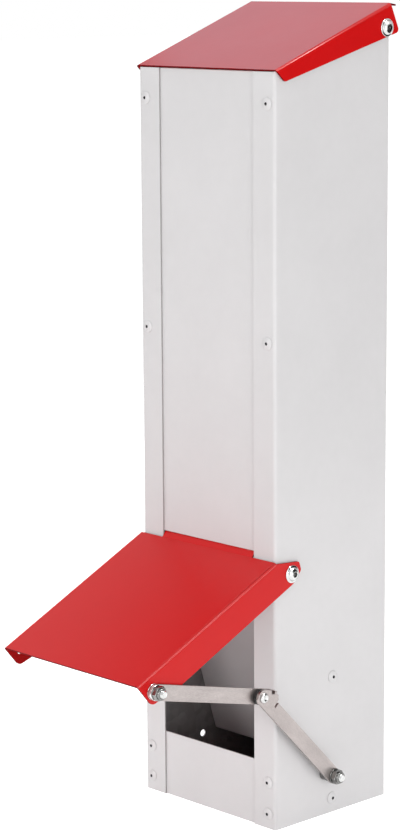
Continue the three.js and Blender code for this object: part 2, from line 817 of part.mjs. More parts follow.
const washerRing = (thickness) => ring(washerRadius, screwHole, thickness);
const studFace = hoodOutside + runningGap;
const studWasherFace = upperBarFace + barThickness + seatGap;
const studNutFace = studWasherFace + washerThickness + seatGap;
const studEnd = studNutFace + nutHexHeight + nutCollarHeight + studProud;
const studHead = spun([[0, 0], [studHeadRadius, 0], [studHeadRadius, hoodSheet], [0, hoodSheet]]);
addPiece('stay_stud_head', acrossAt(studHead, redInside, studLocal), platedSteel, hoodGroup);
addPiece('stay_stud', acrossAt(threadedShank(studEnd - studFace), studFace, stud), platedSteel);
addPiece('stay_stud_inner_washer', acrossAt(washerRing(studWasher), studFace, stud), platedSteel);
addPiece('stay_stud_outer_washer', acrossAt(washerRing(washerThickness), studWasherFace, stud), platedSteel);
addPiece('stay_stud_nut', acrossAt(lockNut(), studNutFace, stud), platedSteel);

const footWasherFace = stayOutside + runningGap;
const footNutFace = footWasherFace + washerThickness + seatGap;
const footEnd = footNutFace + nutHexHeight + nutCollarHeight + footBoltProud;
const footSeat = wallInside - seatGap;
const spacer = ring(spacerRadius, screwHole, lowerBarFace - runningGap - side - seatGap);
const footHead = [
  [0, -boltHeadHeight],
  [boltHeadRadius, -boltHeadHeight],
  [boltHeadRadius, 0],
];
const footBolt = threadedShank(footEnd - footSeat, footHead);
addPiece('stay_foot_bolt', acrossAt(footBolt, footSeat, foot), platedSteel);
addPiece('stay_foot_spacer', acrossAt(spacer, side + seatGap, foot), platedSteel);
addPiece('stay_foot_washer', acrossAt(washerRing(washerThickness), footWasherFace, foot), platedSteel);
addPiece('stay_foot_nut', acrossAt(lockNut(), footNutFace, foot), platedSteel);

export default feeder;
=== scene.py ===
"""Chicken feeder in folded sheet steel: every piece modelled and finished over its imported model.

Sizes are millimetres. The side view is the (y, z) plane, seen from the feeder's right side (+X).
"""

import logging
import math
from contextlib import contextmanager
from dataclasses import dataclass
from enum import Enum
from functools import cache
from typing import Callable, Iterator

import bmesh
import bpy
from mathutils import Euler, Matrix, Vector


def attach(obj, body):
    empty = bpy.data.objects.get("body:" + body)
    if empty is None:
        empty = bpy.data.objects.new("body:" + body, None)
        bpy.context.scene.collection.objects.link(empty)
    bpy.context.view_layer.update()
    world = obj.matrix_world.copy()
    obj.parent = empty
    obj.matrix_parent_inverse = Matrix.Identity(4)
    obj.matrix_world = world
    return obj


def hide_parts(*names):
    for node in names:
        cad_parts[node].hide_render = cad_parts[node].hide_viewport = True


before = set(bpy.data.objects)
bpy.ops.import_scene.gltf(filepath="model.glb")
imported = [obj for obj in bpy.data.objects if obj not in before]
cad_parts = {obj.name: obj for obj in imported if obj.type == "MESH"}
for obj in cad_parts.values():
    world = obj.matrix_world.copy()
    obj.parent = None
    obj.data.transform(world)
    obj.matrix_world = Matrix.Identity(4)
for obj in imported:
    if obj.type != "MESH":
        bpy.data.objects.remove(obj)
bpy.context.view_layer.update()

log = logging.getLogger("feeder")

MM = 0.001
CLEAR = 1.0  # how far a cutter passes what it cuts
SEAT_GAP = 0.1  # between sheets that lie on each other
RUNNING_GAP = 0.15  # between pieces that turn on each other
BORE_GAP = 0.3  # between a shank and its bore
BIT, LONG_BIT = 8.0, 40.0  # lengths of a drill's cutter
DOUBLED = 0.0005  # vertices closer than this are merged
FLAT = 1.8  # a face this much larger than its longest edge, in area, is part of a flat
WALL_FOLD, SMALL_FOLD = 8, 4  # steps in a rounded fold
LID_HINGE, HOOD_HINGE, STAY_FOOT = (55.0, 599.3), (-46.2, 197.8), (-8.4, 33.6)  # in the side view

Piece = bpy.types.Object
Node = bpy.types.Node
Socket = bpy.types.NodeSocket
Outputs = bpy.types.bpy_prop_collection
Point = tuple[float, float]
Place = tuple[float, float, float]
Profile = list[Point]
Colour = tuple[float, float, float]
Feeds = dict[str | int, object]


class Element(Enum):
    """The kind of mesh element that a selection works on."""

    CORNER = "VERT"
    EDGE = "EDGE"
    FACE = "FACE"


class Meeting(Enum):
    """How one solid acts on another."""

    CUT = "DIFFERENCE"
    ADD = "UNION"
    KEEP = "INTERSECT"


class Axis(Enum):
    """The way that a rod or a bore runs, by its turn from upright."""

    X = (0, math.pi / 2, 0)
    Y = (math.pi / 2, 0, 0)


class Hand(Enum):
    """The feeder's left and right sides, by the sign of X."""

    LEFT = -1
    RIGHT = 1


class Slot(Enum):
    """The material slots that the record names."""

    WHITE = "white_coat"
    RED = "red_coat"
    BRUSHED = "brushed_steel"
    PLATED = "plated_steel"
    ZINC = "zinc_steel"
    POLYMER = "black_polymer"


@dataclass(frozen=True)
class Corner:
    """A corner of a flat outline.

    Attributes:
        y: Place along the outline's first axis.
        z: Place along its second axis.
        r: The radius that rounds it, or zero where it is sharp.
    """

    y: float
    z: float
    r: float = 0.0

    def at(self, x: float) -> Vector:
        """The corner's place in the plane at x."""
        return Vector((x, self.y, self.z))


@dataclass(frozen=True)
class Seat:
    """Where a finished piece sits: its turn, then its place.

    Attributes:
        place: Place of the piece's own origin.
        turn_x: Turn about X, in degrees.
        turn_z: Turn about Z, in degrees.
    """

    place: Place = (0.0, 0.0, 0.0)
    turn_x: float = 0.0
    turn_z: float = 0.0

    def matrix(self) -> Matrix:
        """The transform from the piece's own millimetres to the model's metres."""
        turned = Euler((math.radians(self.turn_x), 0.0, math.radians(self.turn_z))).to_matrix()
        return Matrix.Scale(MM, 4) @ Matrix.Translation(self.place) @ turned.to_4x4()


# Selecting and shaping


def select_only(*pieces: Piece) -> None:
    """Select these objects and no others, and make the first one active.

    Args:
        pieces: The objects to select.
    """
    bpy.ops.object.select_all(action="DESELECT")
    for piece in pieces:
        piece.select_set(True)
    bpy.context.view_layer.objects.active = pieces[0]


@contextmanager
def editing(piece: Piece) -> Iterator[None]:
    """Hold an object in edit mode with nothing selected.

    Args:
        piece: The object to edit.
    """
    select_only(piece)
    bpy.ops.object.mode_set(mode="EDIT")
    bpy.ops.mesh.select_all(action="DESELECT")
    yield
    bpy.ops.object.mode_set(mode="OBJECT")


def pick(piece: Piece, element: Element, test: Callable[..., bool]) -> bool:
    """Select the elements of an edited mesh that pass a test, and no others.

    Args:
        piece: The object in edit mode.
        element: The kind of element to look at.
        test: Says whether one vertex, edge or face is wanted.

    Returns:
        Whether any was found.
    """
    bpy.ops.mesh.select_mode(type=element.value)
    bpy.ops.mesh.select_all(action="DESELECT")
    mesh = bmesh.from_edit_mesh(piece.data)
    items = {Element.CORNER: mesh.verts, Element.EDGE: mesh.edges, Element.FACE: mesh.faces}[element]
    found = [item for item in items if test(item)]
    for item in found:
        item.select_set(True)
    mesh.select_flush_mode()
    bmesh.update_edit_mesh(piece.data)
    return bool(found)


def pick_edges(piece: Piece, test: Callable[[Vector], bool]) -> bool:
    """Select the edges whose ends both pass a test on their place, and say whether any was found."""
    return pick(piece, Element.EDGE, lambda edge: all(test(corner.co) for corner in edge.verts))


def remove_faces(piece: Piece, test: Callable[..., bool]) -> None:
    """Delete the faces of an edited mesh that pass a test."""
    pick(piece, Element.FACE, test)
    bpy.ops.mesh.delete(type="FACE")


def extend(*step: float) -> None:
    """Extrude the selected edges by a step."""
    bpy.ops.mesh.extrude_edges_move(TRANSFORM_OT_translate={"value": step})


def fold(radius: float, steps: int) -> None:
    """Round the selected folds."""
    bpy.ops.mesh.bevel(offset=radius, segments=steps, profile=0.5)


def near(value: float, target: float) -> bool:
    """Say whether two lengths agree."""
    return abs(value - target) < 0.01


def settle() -> None:
    """Write the selected object's place, turn and size into its mesh."""
    bpy.ops.object.transform_apply(location=True, rotation=True, scale=True)


def smooth(piece: Piece, angle: float) -> None:
    """Shade a piece smooth where its faces meet at less than an angle in degrees."""
    select_only(piece)
    bpy.ops.object.shade_smooth_by_angle(angle=math.radians(angle))


def named(name: str) -> Piece:
    """Name the object that was just added, and return it."""
    bpy.context.object.name = bpy.context.object.data.name = name
    return bpy.context.object


def copied(piece: Piece, name: str) -> Piece:
    """Copy a modelled piece, with its own mesh.

    Args:
        piece: The piece to copy.
        name: The copy's name.

    Returns:
        The copy.
    """
    select_only(piece)
    bpy.ops.object.duplicate(linked=False)
    return named(name)


def merge_and_face_out() -> None:
    """Merge doubled vertices of the edited mesh, and point every face outwards."""
    bpy.ops.mesh.select_all(action="SELECT")
    bpy.ops.mesh.remove_doubles(threshold=DOUBLED)
    bpy.ops.mesh.normals_make_consistent(inside=False)


def modify(piece: Piece, kind: str, **values: object) -> None:
    """Add a modifier to a piece, set its values and apply it.

    Args:
        piece: The piece.
        kind: The modifier's type.
        values: Its properties by name.
    """
    select_only(piece)
    bpy.ops.object.modifier_add(type=kind)
    modifier = piece.modifiers[-1]
    for name, value in values.items():
        setattr(modifier, name, value)
    bpy.ops.object.modifier_apply(modifier=modifier.name)


def combine(piece: Piece, tool: Piece, meeting: Meeting) -> None:
    """Cut, join or trim a solid with another one, which is used up."""
    modify(piece, "BOOLEAN", operation=meeting.value, solver="EXACT", object=tool)
    bpy.data.objects.remove(tool)


@contextmanager
def outlined(name: str, places: list[Vector], fill: str) -> Iterator[Piece]:
    """Lay a closed line through a list of places, and hold it in edit mode.

    Args:
        name: The object's name.
        places: The line's corners in order.
        fill: Whether a face fills it, NGON or NOTHING.
    """
    bpy.ops.mesh.primitive_circle_add(vertices=len(places), radius=1, fill_type=fill, location=(0, 0, 0))
    piece = named(name)
    with editing(piece):
        for index, place in enumerate(places):
            here = piece.data.vertices[index].co.copy()
            pick(piece, Element.CORNER, lambda corner: corner.index == index)
            bpy.ops.transform.translate(value=place - here)
        yield piece


def plate(name: str, corners: list[Corner], start: float, end: float) -> Piece:
    """Make a flat plate from its outline in the side view.

    Args:
        name: The plate's name.
        corners: The outline in order.
        start: X of the plate's first face.
        end: X of its other face.

    Returns:
        The closed plate.
    """
    places = [corner.at(start) for corner in corners]
    with outlined(name, places, "NGON") as piece:
        for index, (corner, place) in enumerate(zip(corners, places)):
            if corner.r > 0:
                before, after = places[index - 1] - place, places[(index + 1) % len(places)] - place
                run = corner.r / math.tan(before.angle(after) / 2)
                pick(piece, Element.CORNER, lambda vertex: (vertex.co - place).length < 0.001)
                bpy.ops.mesh.bevel(
                    offset=run, offset_type="OFFSET", affect="VERTICES", segments=10, profile=0.5
                )
        bpy.ops.mesh.select_all(action="SELECT")
        bpy.ops.mesh.remove_doubles(threshold=DOUBLED)
        bpy.ops.mesh.extrude_region_move(TRANSFORM_OT_translate={"value": (end - start, 0, 0)})
        merge_and_face_out()
    return piece


def rectangle(left: float, right: float, bottom: float, top: float) -> list[Corner]:
    """List the corners of a rectangle in the side view."""
    return [Corner(left, bottom), Corner(right, bottom), Corner(right, top), Corner(left, top)]


def turned(name: str, profile: Profile, steps: int = 48, smoothed: float = 0.0) -> Piece:
    """Turn a profile about the X axis.

    Args:
        name: The piece's name.
        profile: Pairs of radius and height. It closes on itself unless both ends are on the axis.
        steps: How many steps the full turn takes.
        smoothed: The angle up to which its edges are shaded smooth, in degrees.

    Returns:
        The closed solid, with its height along X.
    """
    with outlined(name, [Vector((height, radius, 0)) for radius, height in profile], "NOTHING") as piece:
        if pick_edges(piece, lambda place: near(place.y, 0)):
            bpy.ops.mesh.delete(type="EDGE")
        bpy.ops.mesh.select_all(action="SELECT")
        bpy.ops.mesh.spin(steps=steps, angle=math.tau, center=(0, 0, 0), axis=(1, 0, 0))
        merge_and_face_out()
    if smoothed:
        smooth(piece, smoothed)
    return piece


def ring(name: str, outer: float, inner: float, thickness: float) -> Piece:
    """Turn a flat ring with broken edges.

    Args:
        name: The ring's name.
        outer: Its outer radius.
        inner: Its bore's radius.
        thickness: Its thickness.

    Returns:
        The ring, from X zero.
    """
    edge = min(0.2, thickness / 4)
    lower = [(inner, edge), (inner + edge, 0.0), (outer - edge, 0.0), (outer, edge)]
    upper = [(radius, thickness - height) for radius, height in reversed(lower)]
    return turned(name, lower + upper, smoothed=35)


def rod(name: str, sides: int, radius: float, middle: Place, length: float, axis: Axis = Axis.X) -> Piece:
    """Add a straight rod, to be shaped or used as a cutter.

    Args:
        name: The rod's name.
        sides: How many sides it has.
        radius: Its radius to its corners.
        middle: Its middle.
        length: Its length.
        axis: The way that it runs.

    Returns:
        The rod, not settled yet.
    """
    bpy.ops.mesh.primitive_cylinder_add(
        vertices=sides, radius=radius, depth=length, location=middle, rotation=axis.value
    )
    return named(name)


def drill(piece: Piece, radius: float, points: list[Place], axis: Axis = Axis.X, length: float = BIT) -> None:
    """Cut round holes through a piece.

    Args:
        piece: The piece to drill.
        radius: The holes' radius.
        points: The middle of each hole.
        axis: The holes' direction.
        length: How long each cutter is.
    """
    bits = [rod("drill_bit", 40, radius, point, length, axis) for point in points]
    select_only(*bits)
    if len(bits) > 1:
        bpy.ops.object.join()
    settle()
    combine(piece, bpy.context.object, Meeting.CUT)


def block(name: str, low: Place, high: Place) -> Piece:
    """Add a box between two corners, to be shaped or used as a cutter.

    Args:
        name: The box's name.
        low: Its lowest corner.
        high: Its highest corner.

    Returns:
        The box, with its place and size in its mesh.
    """
    low, high = Vector(low), Vector(high)
    bpy.ops.mesh.primitive_cube_add(size=1, location=(low + high) / 2, scale=high - low)
    settle()
    return named(name)


def add_slots(piece: Piece, count: int) -> None:
    """Give a piece at least this many material slots, still empty."""
    while len(piece.data.materials) < count:
        piece.data.materials.append(None)


def paint(piece: Piece, number: int, test: Callable[..., bool] = lambda face: True) -> None:
    """Give the faces that pass a test one of the piece's finishes.

    Args:
        piece: The piece.
        number: The finish's number.
        test: Says whether a face is wanted.
    """
    add_slots(piece, number + 1)
    with editing(piece):
        pick(piece, Element.FACE, test)
        piece.active_material_index = number
        bpy.ops.object.material_slot_assign()


def give_thickness(piece: Piece, thickness: float) -> None:
    """Give an open shell its sheet thickness, inwards, and number its three finishes.

    Args:
        piece: The shell, with its faces pointing out. Its inside becomes 1 and its cut edges 2.
        thickness: The sheet's thickness.
    """
    add_slots(piece, 3)
    inside = {"material_offset": 1, "material_offset_rim": 2}
    modify(piece, "SOLIDIFY", thickness=thickness, offset=-1, use_even_offset=True, **inside)


def soften(piece: Piece, width: float, angle: float = 34.0) -> None:
    """Break a piece's sharp edges, and shade its rounds smooth and its flats flat.

    Args:
        piece: The piece.
        width: How wide the broken edge is.
        angle: The least angle between faces that counts as an edge, in degrees.
    """
    modify(piece, "BEVEL", width=width, segments=2, limit_method="ANGLE", angle_limit=math.radians(angle))
    smooth(piece, 50)
    with editing(piece):
        pick(
            piece,
            Element.FACE,
            lambda face: face.calc_area() > FLAT * max(edge.calc_length() for edge in face.edges),
        )
        bpy.ops.mesh.faces_select_linked_flat(sharpness=math.radians(1))
        bpy.ops.mesh.faces_shade_flat()


# Node groups that several finishes share


@dataclass
class NodeBoard:
    """A node tree that nodes are placed and linked on.

    Attributes:
        tree: The tree of a material, a world or a group.
    """

    tree: bpy.types.NodeTree

    def feed(self, node: Node, feeds: Feeds) -> None:
        """Link sockets to a node's inputs, or set them to plain values.

        Args:
            node: The node.
            feeds: A socket or a value for each input, by its name or number.
        """
        for name, value in feeds.items():
            if isinstance(value, Socket):
                self.tree.links.new(value, node.inputs[name])
            else:
                node.inputs[name].default_value = value

    def add(self, kind: str, feeds: Feeds, **values: object) -> Node:
        """Add a node.

        Args:
            kind: Its type.
            feeds: What its inputs get.
            values: Its properties by name.

        Returns:
            The node.
        """
        node = self.tree.nodes.new(kind)
        for name, value in values.items():
            setattr(node, name, value)
        self.feed(node, feeds)
        return node

    def noise(self, place: Socket, scale: object, detail: float, rough: float) -> Socket:
        """Add a noise texture, and return its value."""
        feeds = {"Vector": place, "Scale": scale, "Detail": detail, "Roughness": rough}
        return self.add("ShaderNodeTexNoise", feeds).outputs[0]

    def math(self, operation: str, *values: object) -> Socket:
        """Add a math node on sockets or numbers, and return its result."""
        return self.add("ShaderNodeMath", dict(enumerate(values)), operation=operation).outputs[0]

    def spread(self, value: Socket, ends: Point, low: object, high: object) -> Socket:
        """Map a value from a range to another, clamped, and return the result."""
        feeds = {"Value": value, "From Min": ends[0], "From Max": ends[1], "To Min": low, "To Max": high}
        return self.add("ShaderNodeMapRange", feeds).outputs["Result"]


def surface(name: str, feeds: Feeds) -> tuple[bpy.types.Material, NodeBoard, Node]:
    """Start a material.

    Args:
        name: Its name.
        feeds: Its shader's own values.

    Returns:
        The material, its board and its surface shader.
    """
    material = bpy.data.materials.new(name)
    material.use_nodes = True
    board, shader = NodeBoard(material.node_tree), material.node_tree.nodes["Principled BSDF"]
    board.feed(shader, feeds)
    return material, board, shader


class Effect:
    """A shader node group that several finishes place with their own values."""

    name = ""
    inputs: dict[str, float] = {}
    outputs: tuple[str, ...] = ()

    def group(self) -> bpy.types.NodeTree:
        """Build the group once, and return it each time.

        Returns:
            The group's tree.
        """
        tree = bpy.data.node_groups.get(self.name)
        if tree is None:
            tree = bpy.data.node_groups.new(self.name, "ShaderNodeTree")
            tree.interface.new_socket("Place", in_out="INPUT", socket_type="NodeSocketVector")
            for name, value in self.inputs.items():
                socket = tree.interface.new_socket(name, in_out="INPUT", socket_type="NodeSocketFloat")
                socket.default_value = value
            for name in self.outputs:
                tree.interface.new_socket(name, in_out="OUTPUT", socket_type="NodeSocketFloat")
            board = NodeBoard(tree)
            board.add("NodeGroupOutput", self.wire(board, board.add("NodeGroupInput", {}).outputs))
        return tree

    def wire(self, board: NodeBoard, given: Outputs) -> Feeds:
        """Place the group's own nodes.

        Args:
            board: The group's board.
            given: The group's inputs.

        Returns:
            The socket of each output.
        """
        raise NotImplementedError

    def place(self, board: NodeBoard, vector: Socket, **values: float) -> Outputs:
        """Place the group in a material, with its own values, and return its outputs."""
        return board.add("ShaderNodeGroup", {"Place": vector, **values}, node_tree=self.group()).outputs


class Mottle(Effect):
    """Broad, faint unevenness of tone and gloss."""

    name = "broad_mottle"
    inputs = {"Scale": 20.0, "Low": 0.0, "High": 1.0}
    outputs = ("Value",)

    def wire(self, board: NodeBoard, given: Outputs) -> Feeds:
        """Blend broad and fine noise, and spread it between Low and High.

        Args:
            board: The group's board.
            given: The group's inputs.

        Returns:
            The mottled value.
        """
        broad = board.noise(given["Place"], given["Scale"], 3.0, 0.55)
        fine = board.noise(given["Place"], board.math("MULTIPLY", given["Scale"], 9.0), 2.0, 0.5)
        blend = board.math("ADD", broad, board.math("MULTIPLY", fine, 0.35))
        return {"Value": board.spread(blend, (0.45, 0.9), given["Low"], given["High"])}


class OrangePeel(Effect):
    """The low, pebbled skin of a sprayed and baked coat."""

    name = "orange_peel"
    inputs = {"Scale": 800.0}
    outputs = ("Height",)

    def wire(self, board: NodeBoard, given: Outputs) -> Feeds:
        """Lay fine pebbles over broader ones and a broad swell.

        Args:
            board: The group's board.
            given: The group's inputs.

        Returns:
            The skin's height.
        """
        layers = []
        for share, weight in ((1.0, 1.0), (0.4, 1.5), (0.12, 3.0)):
            scale = board.math("MULTIPLY", given["Scale"], share)
            layers.append(board.math("MULTIPLY", board.noise(given["Place"], scale, 1.0, 0.4), weight))
        return {"Height": board.math("ADD", board.math("ADD", layers[0], layers[1]), layers[2])}


class BrushedGrain(Effect):
    """Fine scratches along the coordinates' Y axis, in a matt tumbled skin."""

    name = "brushed_grain"
    inputs = {"Length": 120.0, "Fineness": 2400.0}
    outputs = ("Streak", "Band")

    def wire(self, board: NodeBoard, given: Outputs) -> Feeds:
        """Stretch noise along Y, once fine for scratches and once broad for bands.

        Args:
            board: The group's board.
            given: The group's inputs.

        Returns:
            The scratches and the bands.
        """
        found = {}
        for output, share in (("Streak", 1.0), ("Band", 0.09)):
            across, along = (board.math("MULTIPLY", given[name], share) for name in ("Fineness", "Length"))
            stretch = board.add("ShaderNodeCombineXYZ", {"X": across, "Y": along, "Z": across})
            feeds = {0: given["Place"], 1: stretch.outputs[0]}
            scaled = board.add("ShaderNodeVectorMath", feeds, operation="MULTIPLY")
            found[output] = board.spread(board.noise(scaled.outputs[0], 1.0, 3.0, 0.6), (0.3, 0.7), 0.0, 1.0)
        return found


# Finishes


@dataclass(frozen=True)
class Finish:
    """A surface finish: a mottled tone, a clouded gloss and a pebbled skin.

    Attributes:
        name: The material's name.
        colour: Its base colour, linear.
        roughness: Its middle roughness.
        gloss: The shader's specular level.
        metallic: How far it is bare metal.
        tone: Scale of the pattern in its tone.
        tint: The least and the most share of the colour in that pattern.
        cloud: Scale of the clouds in its gloss.
        wander: What the clouds add to the roughness, at their ends.
        pebble: Scale of the skin's pebbles.
        relief: How far the skin shows, and its depth.
    """

    name: str
    colour: Colour
    roughness: float
    gloss: float = 0.5
    metallic: float = 0.0
    tone: float = 14.0
    tint: Point = (0.975, 1.02)
    cloud: float = 22.0
    wander: Point = (-0.012, 0.012)
    pebble: float = 420.0
    relief: Point = (0.15, 0.05)

    @cache
    def material(self) -> bpy.types.Material:
        """Build the material once, and return it each time.

        Returns:
            The material, ready for a slot.
        """
        feeds = {"Base Color": (*self.colour, 1.0), "Roughness": self.roughness}
        feeds |= {"Metallic": self.metallic, "Specular IOR Level": self.gloss}
        material, board, shader = surface(self.name, feeds)
        amount, rough, height = self.detail(board, board.add("ShaderNodeTexCoord", {}).outputs["Object"])
        deep, pale = ((*[min(channel * share, 1.0) for channel in self.colour], 1.0) for share in self.tint)
        mix = board.add("ShaderNodeMix", {"A": deep, "B": pale, "Factor": amount}, data_type="RGBA")
        strength, depth = self.relief
        bump = board.add("ShaderNodeBump", {"Strength": strength, "Distance": depth * MM, "Height": height})
        found = {"Base Color": mix.outputs["Result"], "Roughness": rough, "Normal": bump.outputs["Normal"]}
        board.feed(shader, found)
        return material

    def pattern(self, board: NodeBoard, place: Socket) -> Socket:
        """Lay the pattern of the tone on these coordinates, from 0 to 1."""
        return Mottle().place(board, place, Scale=self.tone)["Value"]

    def detail(self, board: NodeBoard, place: Socket) -> tuple[Socket, Socket, Socket]:
        """Lay the finish's own detail.

        Args:
            board: The material's board.
            place: Object coordinates.

        Returns:
            Where the colour is paler, the roughness, and the skin's height.
        """
        low, high = (self.roughness + change for change in self.wander)
        cloud = Mottle().place(board, place, Scale=self.cloud, Low=low, High=high)
        peel = OrangePeel().place(board, place, Scale=self.pebble)
        return self.pattern(board, place), cloud["Value"], peel["Height"]


class PowderCoat(Finish):
    """Baked powder coat: pebbled, half glossy, very slightly uneven."""


@dataclass(frozen=True)
class GalvanisedSheet(Finish):
    """Bare galvanised sheet: dull spangles of zinc under a clouded gloss."""

    metallic: float = 0.3
    tone: float = 160.0
    tint: Point = (0.86, 1.1)
    cloud: float = 26.0
    wander: Point = (-0.08, 0.1)
    pebble: float = 500.0
    relief: Point = (0.12, 0.04)

    def pattern(self, board: NodeBoard, place: Socket) -> Socket:
        """Break the tone into crystals on these coordinates, from 0 to 1."""
        crystals = board.add("ShaderNodeTexVoronoi", {"Scale": self.tone, "Vector": place}, feature="F1")
        return board.add("ShaderNodeSeparateColor", {"Color": crystals.outputs["Color"]}).outputs["Red"]


@dataclass(frozen=True)
class PlatedSteel(Finish):
    """Bright plated hardware with faint smears and fine turning marks."""

    metallic: float = 1.0
    tone: float = 240.0
    tint: Point = (0.86, 1.05)
    cloud: float = 420.0
    wander: Point = (-0.05, 0.09)
    pebble: float = 2600.0
    relief: Point = (0.1, 0.02)


@dataclass(frozen=True)
class Polymer(Finish):
    """Moulded black polymer with a dull skin."""

    tone: float = 180.0
    tint: Point = (0.8, 1.3)
    cloud: float = 300.0
    wander: Point = (-0.06, 0.08)
    pebble: float = 3000.0
    relief: Point = (0.2, 0.02)


@dataclass(frozen=True)
class BrushedSteel(Finish):
    """Drawn steel bar with fine scratches along its length.

    Attributes:
        turn: The bar's slope in the side view, in degrees.
        length: Scale of the scratches along the bar.
        fineness: Their scale across it.
    """

    metallic: float = 1.0
    tint: Point = (0.82, 1.14)
    wander: Point = (0.1, -0.08)
    relief: Point = (0.25, 0.02)
    turn: float = 0.0
    length: float = 420.0
    fineness: float = 1900.0

    def detail(self, board: NodeBoard, place: Socket) -> tuple[Socket, Socket, Socket]:
        """Lay scratches along the bar, which move its tone, gloss and relief.

        Args:
            board: The material's board.
            place: Object coordinates.

        Returns:
            Where the colour is paler, the roughness, and the scratches' height.
        """
        feeds = {"Rotation": (math.radians(self.turn), 0.0, 0.0), "Vector": place}
        along = board.add("ShaderNodeMapping", feeds, vector_type="TEXTURE").outputs[0]
        grain = BrushedGrain().place(board, along, Length=self.length, Fineness=self.fineness)
        streak = board.math("MULTIPLY", grain["Streak"], 0.55)
        band = board.math("MULTIPLY", grain["Band"], 0.45)
        both = board.math("ADD", streak, band)
        smooth_end, rough_end = (self.roughness + change for change in self.wander)
        return both, board.spread(both, (0.0, 1.0), smooth_end, rough_end), grain["Streak"]


WHITE = PowderCoat("white_powder_coat", (0.68, 0.668, 0.674), 0.42)
# Cut edges of the white sheet are darkened. This is partly a thinner coat at the edge and partly painted
# shade, standing in for the shade in the gaps between sheets.
WHITE_EDGE_SHADE = PowderCoat("white_coat_edge_painted_shade", (0.36, 0.35, 0.35), 0.5)
# Painted shade: a darker copy of the white coat for the baffle. Its darkness stands in for the shade inside
# the column.
SHADED_WHITE = PowderCoat("white_coat_painted_shade", (0.54, 0.52, 0.525), 0.45)
RED = PowderCoat("red_powder_coat", (0.6, 0.0008, 0.0014), 0.3, gloss=0.28)
# Cut edges of the red sheet are near-black red. This is partly a thinner coat at the edge and partly painted
# shade along the edges.
RED_EDGE_SHADE = PowderCoat("red_coat_edge_painted_shade", (0.14, 0.0, 0.002), 0.5, gloss=0.04)
# Painted shade: a darker copy of the red coat for the hood's inner faces. It stands in for the shade under
# the hood.
SHADED_RED = PowderCoat("red_coat_painted_shade", (0.36, 0.001, 0.0015), 0.4, gloss=0.1)
# A dark grey for the lid's rear lip, in place of the red coat.
GREY_LIP = PowderCoat("grey_lip_coat", (0.1, 0.12, 0.125), 0.45, gloss=0.3)
# Galvanised sheet for the inside of the shell and the tray. It is made darker than bare zinc, so its colour
# is partly the real sheet and partly painted shade for the dark inside of the column.
BARE_AND_SHADED = GalvanisedSheet("galvanised_sheet_and_painted_shade", (0.25, 0.24, 0.24), 0.45)
BRIGHT = PlatedSteel("bright_plate", (0.62, 0.625, 0.62), 0.2)
# A darker plate. On the nuts, the spacer and the foot washer its darkness partly stands in for dark
# reflections. In the screws' sockets it is painted shade in the recess.
DARK_PLATE_AND_SHADE = PlatedSteel("dark_plate_and_painted_shade", (0.22, 0.22, 0.215), 0.22)
ZINC = PlatedSteel("zinc_plate", (0.5, 0.51, 0.52), 0.38)
# Painted shade: near-black for the rivets' recess and the broken mandrel in it, standing in for the shade in
# the hole.
RECESS_SHADE = PlatedSteel("rivet_recess_painted_shade", (0.05, 0.05, 0.055), 0.5)
POLYMER = Polymer("black_polymer", (0.006, 0.006, 0.007), 0.5)


def seat(
    piece: Piece, node: str, body: str, finishes: list[Finish], place: Seat = Seat()
) -> None:
    """Finish a piece: place it in its mesh, give it its finishes, and let it stand for its node.

    Args:
        piece: The modelled piece, in its own millimetres.
        node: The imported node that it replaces.
        body: The body that it moves with.
        finishes: Its finishes, in the order of its faces' numbers.
        place: Where it sits.
    """
    piece.matrix_world = place.matrix()
    select_only(piece)
    settle()
    add_slots(piece, len(finishes))
    for index, finish in enumerate(finishes):
        piece.data.materials[index] = finish.material()
    piece.name = piece.data.name = f"{node}_finished"
    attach(piece, body)
    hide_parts(node)
    log.info("%s: %d faces, rides on %s", piece.name, len(piece.data.polygons), body)


def seat_pair(
    master: Piece, name: str, x: float, point: Point, finishes: list[Finish],
    turns: Point = (180.0, 0.0),
) -> None:
    """Seat a copy of a fastener on each side of the column.

    Args:
        master: The modelled fastener, which stays unseated.
        name: The nodes' name, without their side.
        x: X of the right one's place.
        point: Their place in the side view.
        finishes: Their finishes.
        turns: The left one's and the right one's turn about Z, in degrees.
    """
    for hand, turn in zip(Hand, turns):
        node = f"{name}_{hand.name.lower()}"
        place = Seat((hand.value * x, *point), turn_z=turn)
        seat(copied(master, node), node, "column", finishes, place)


# Body


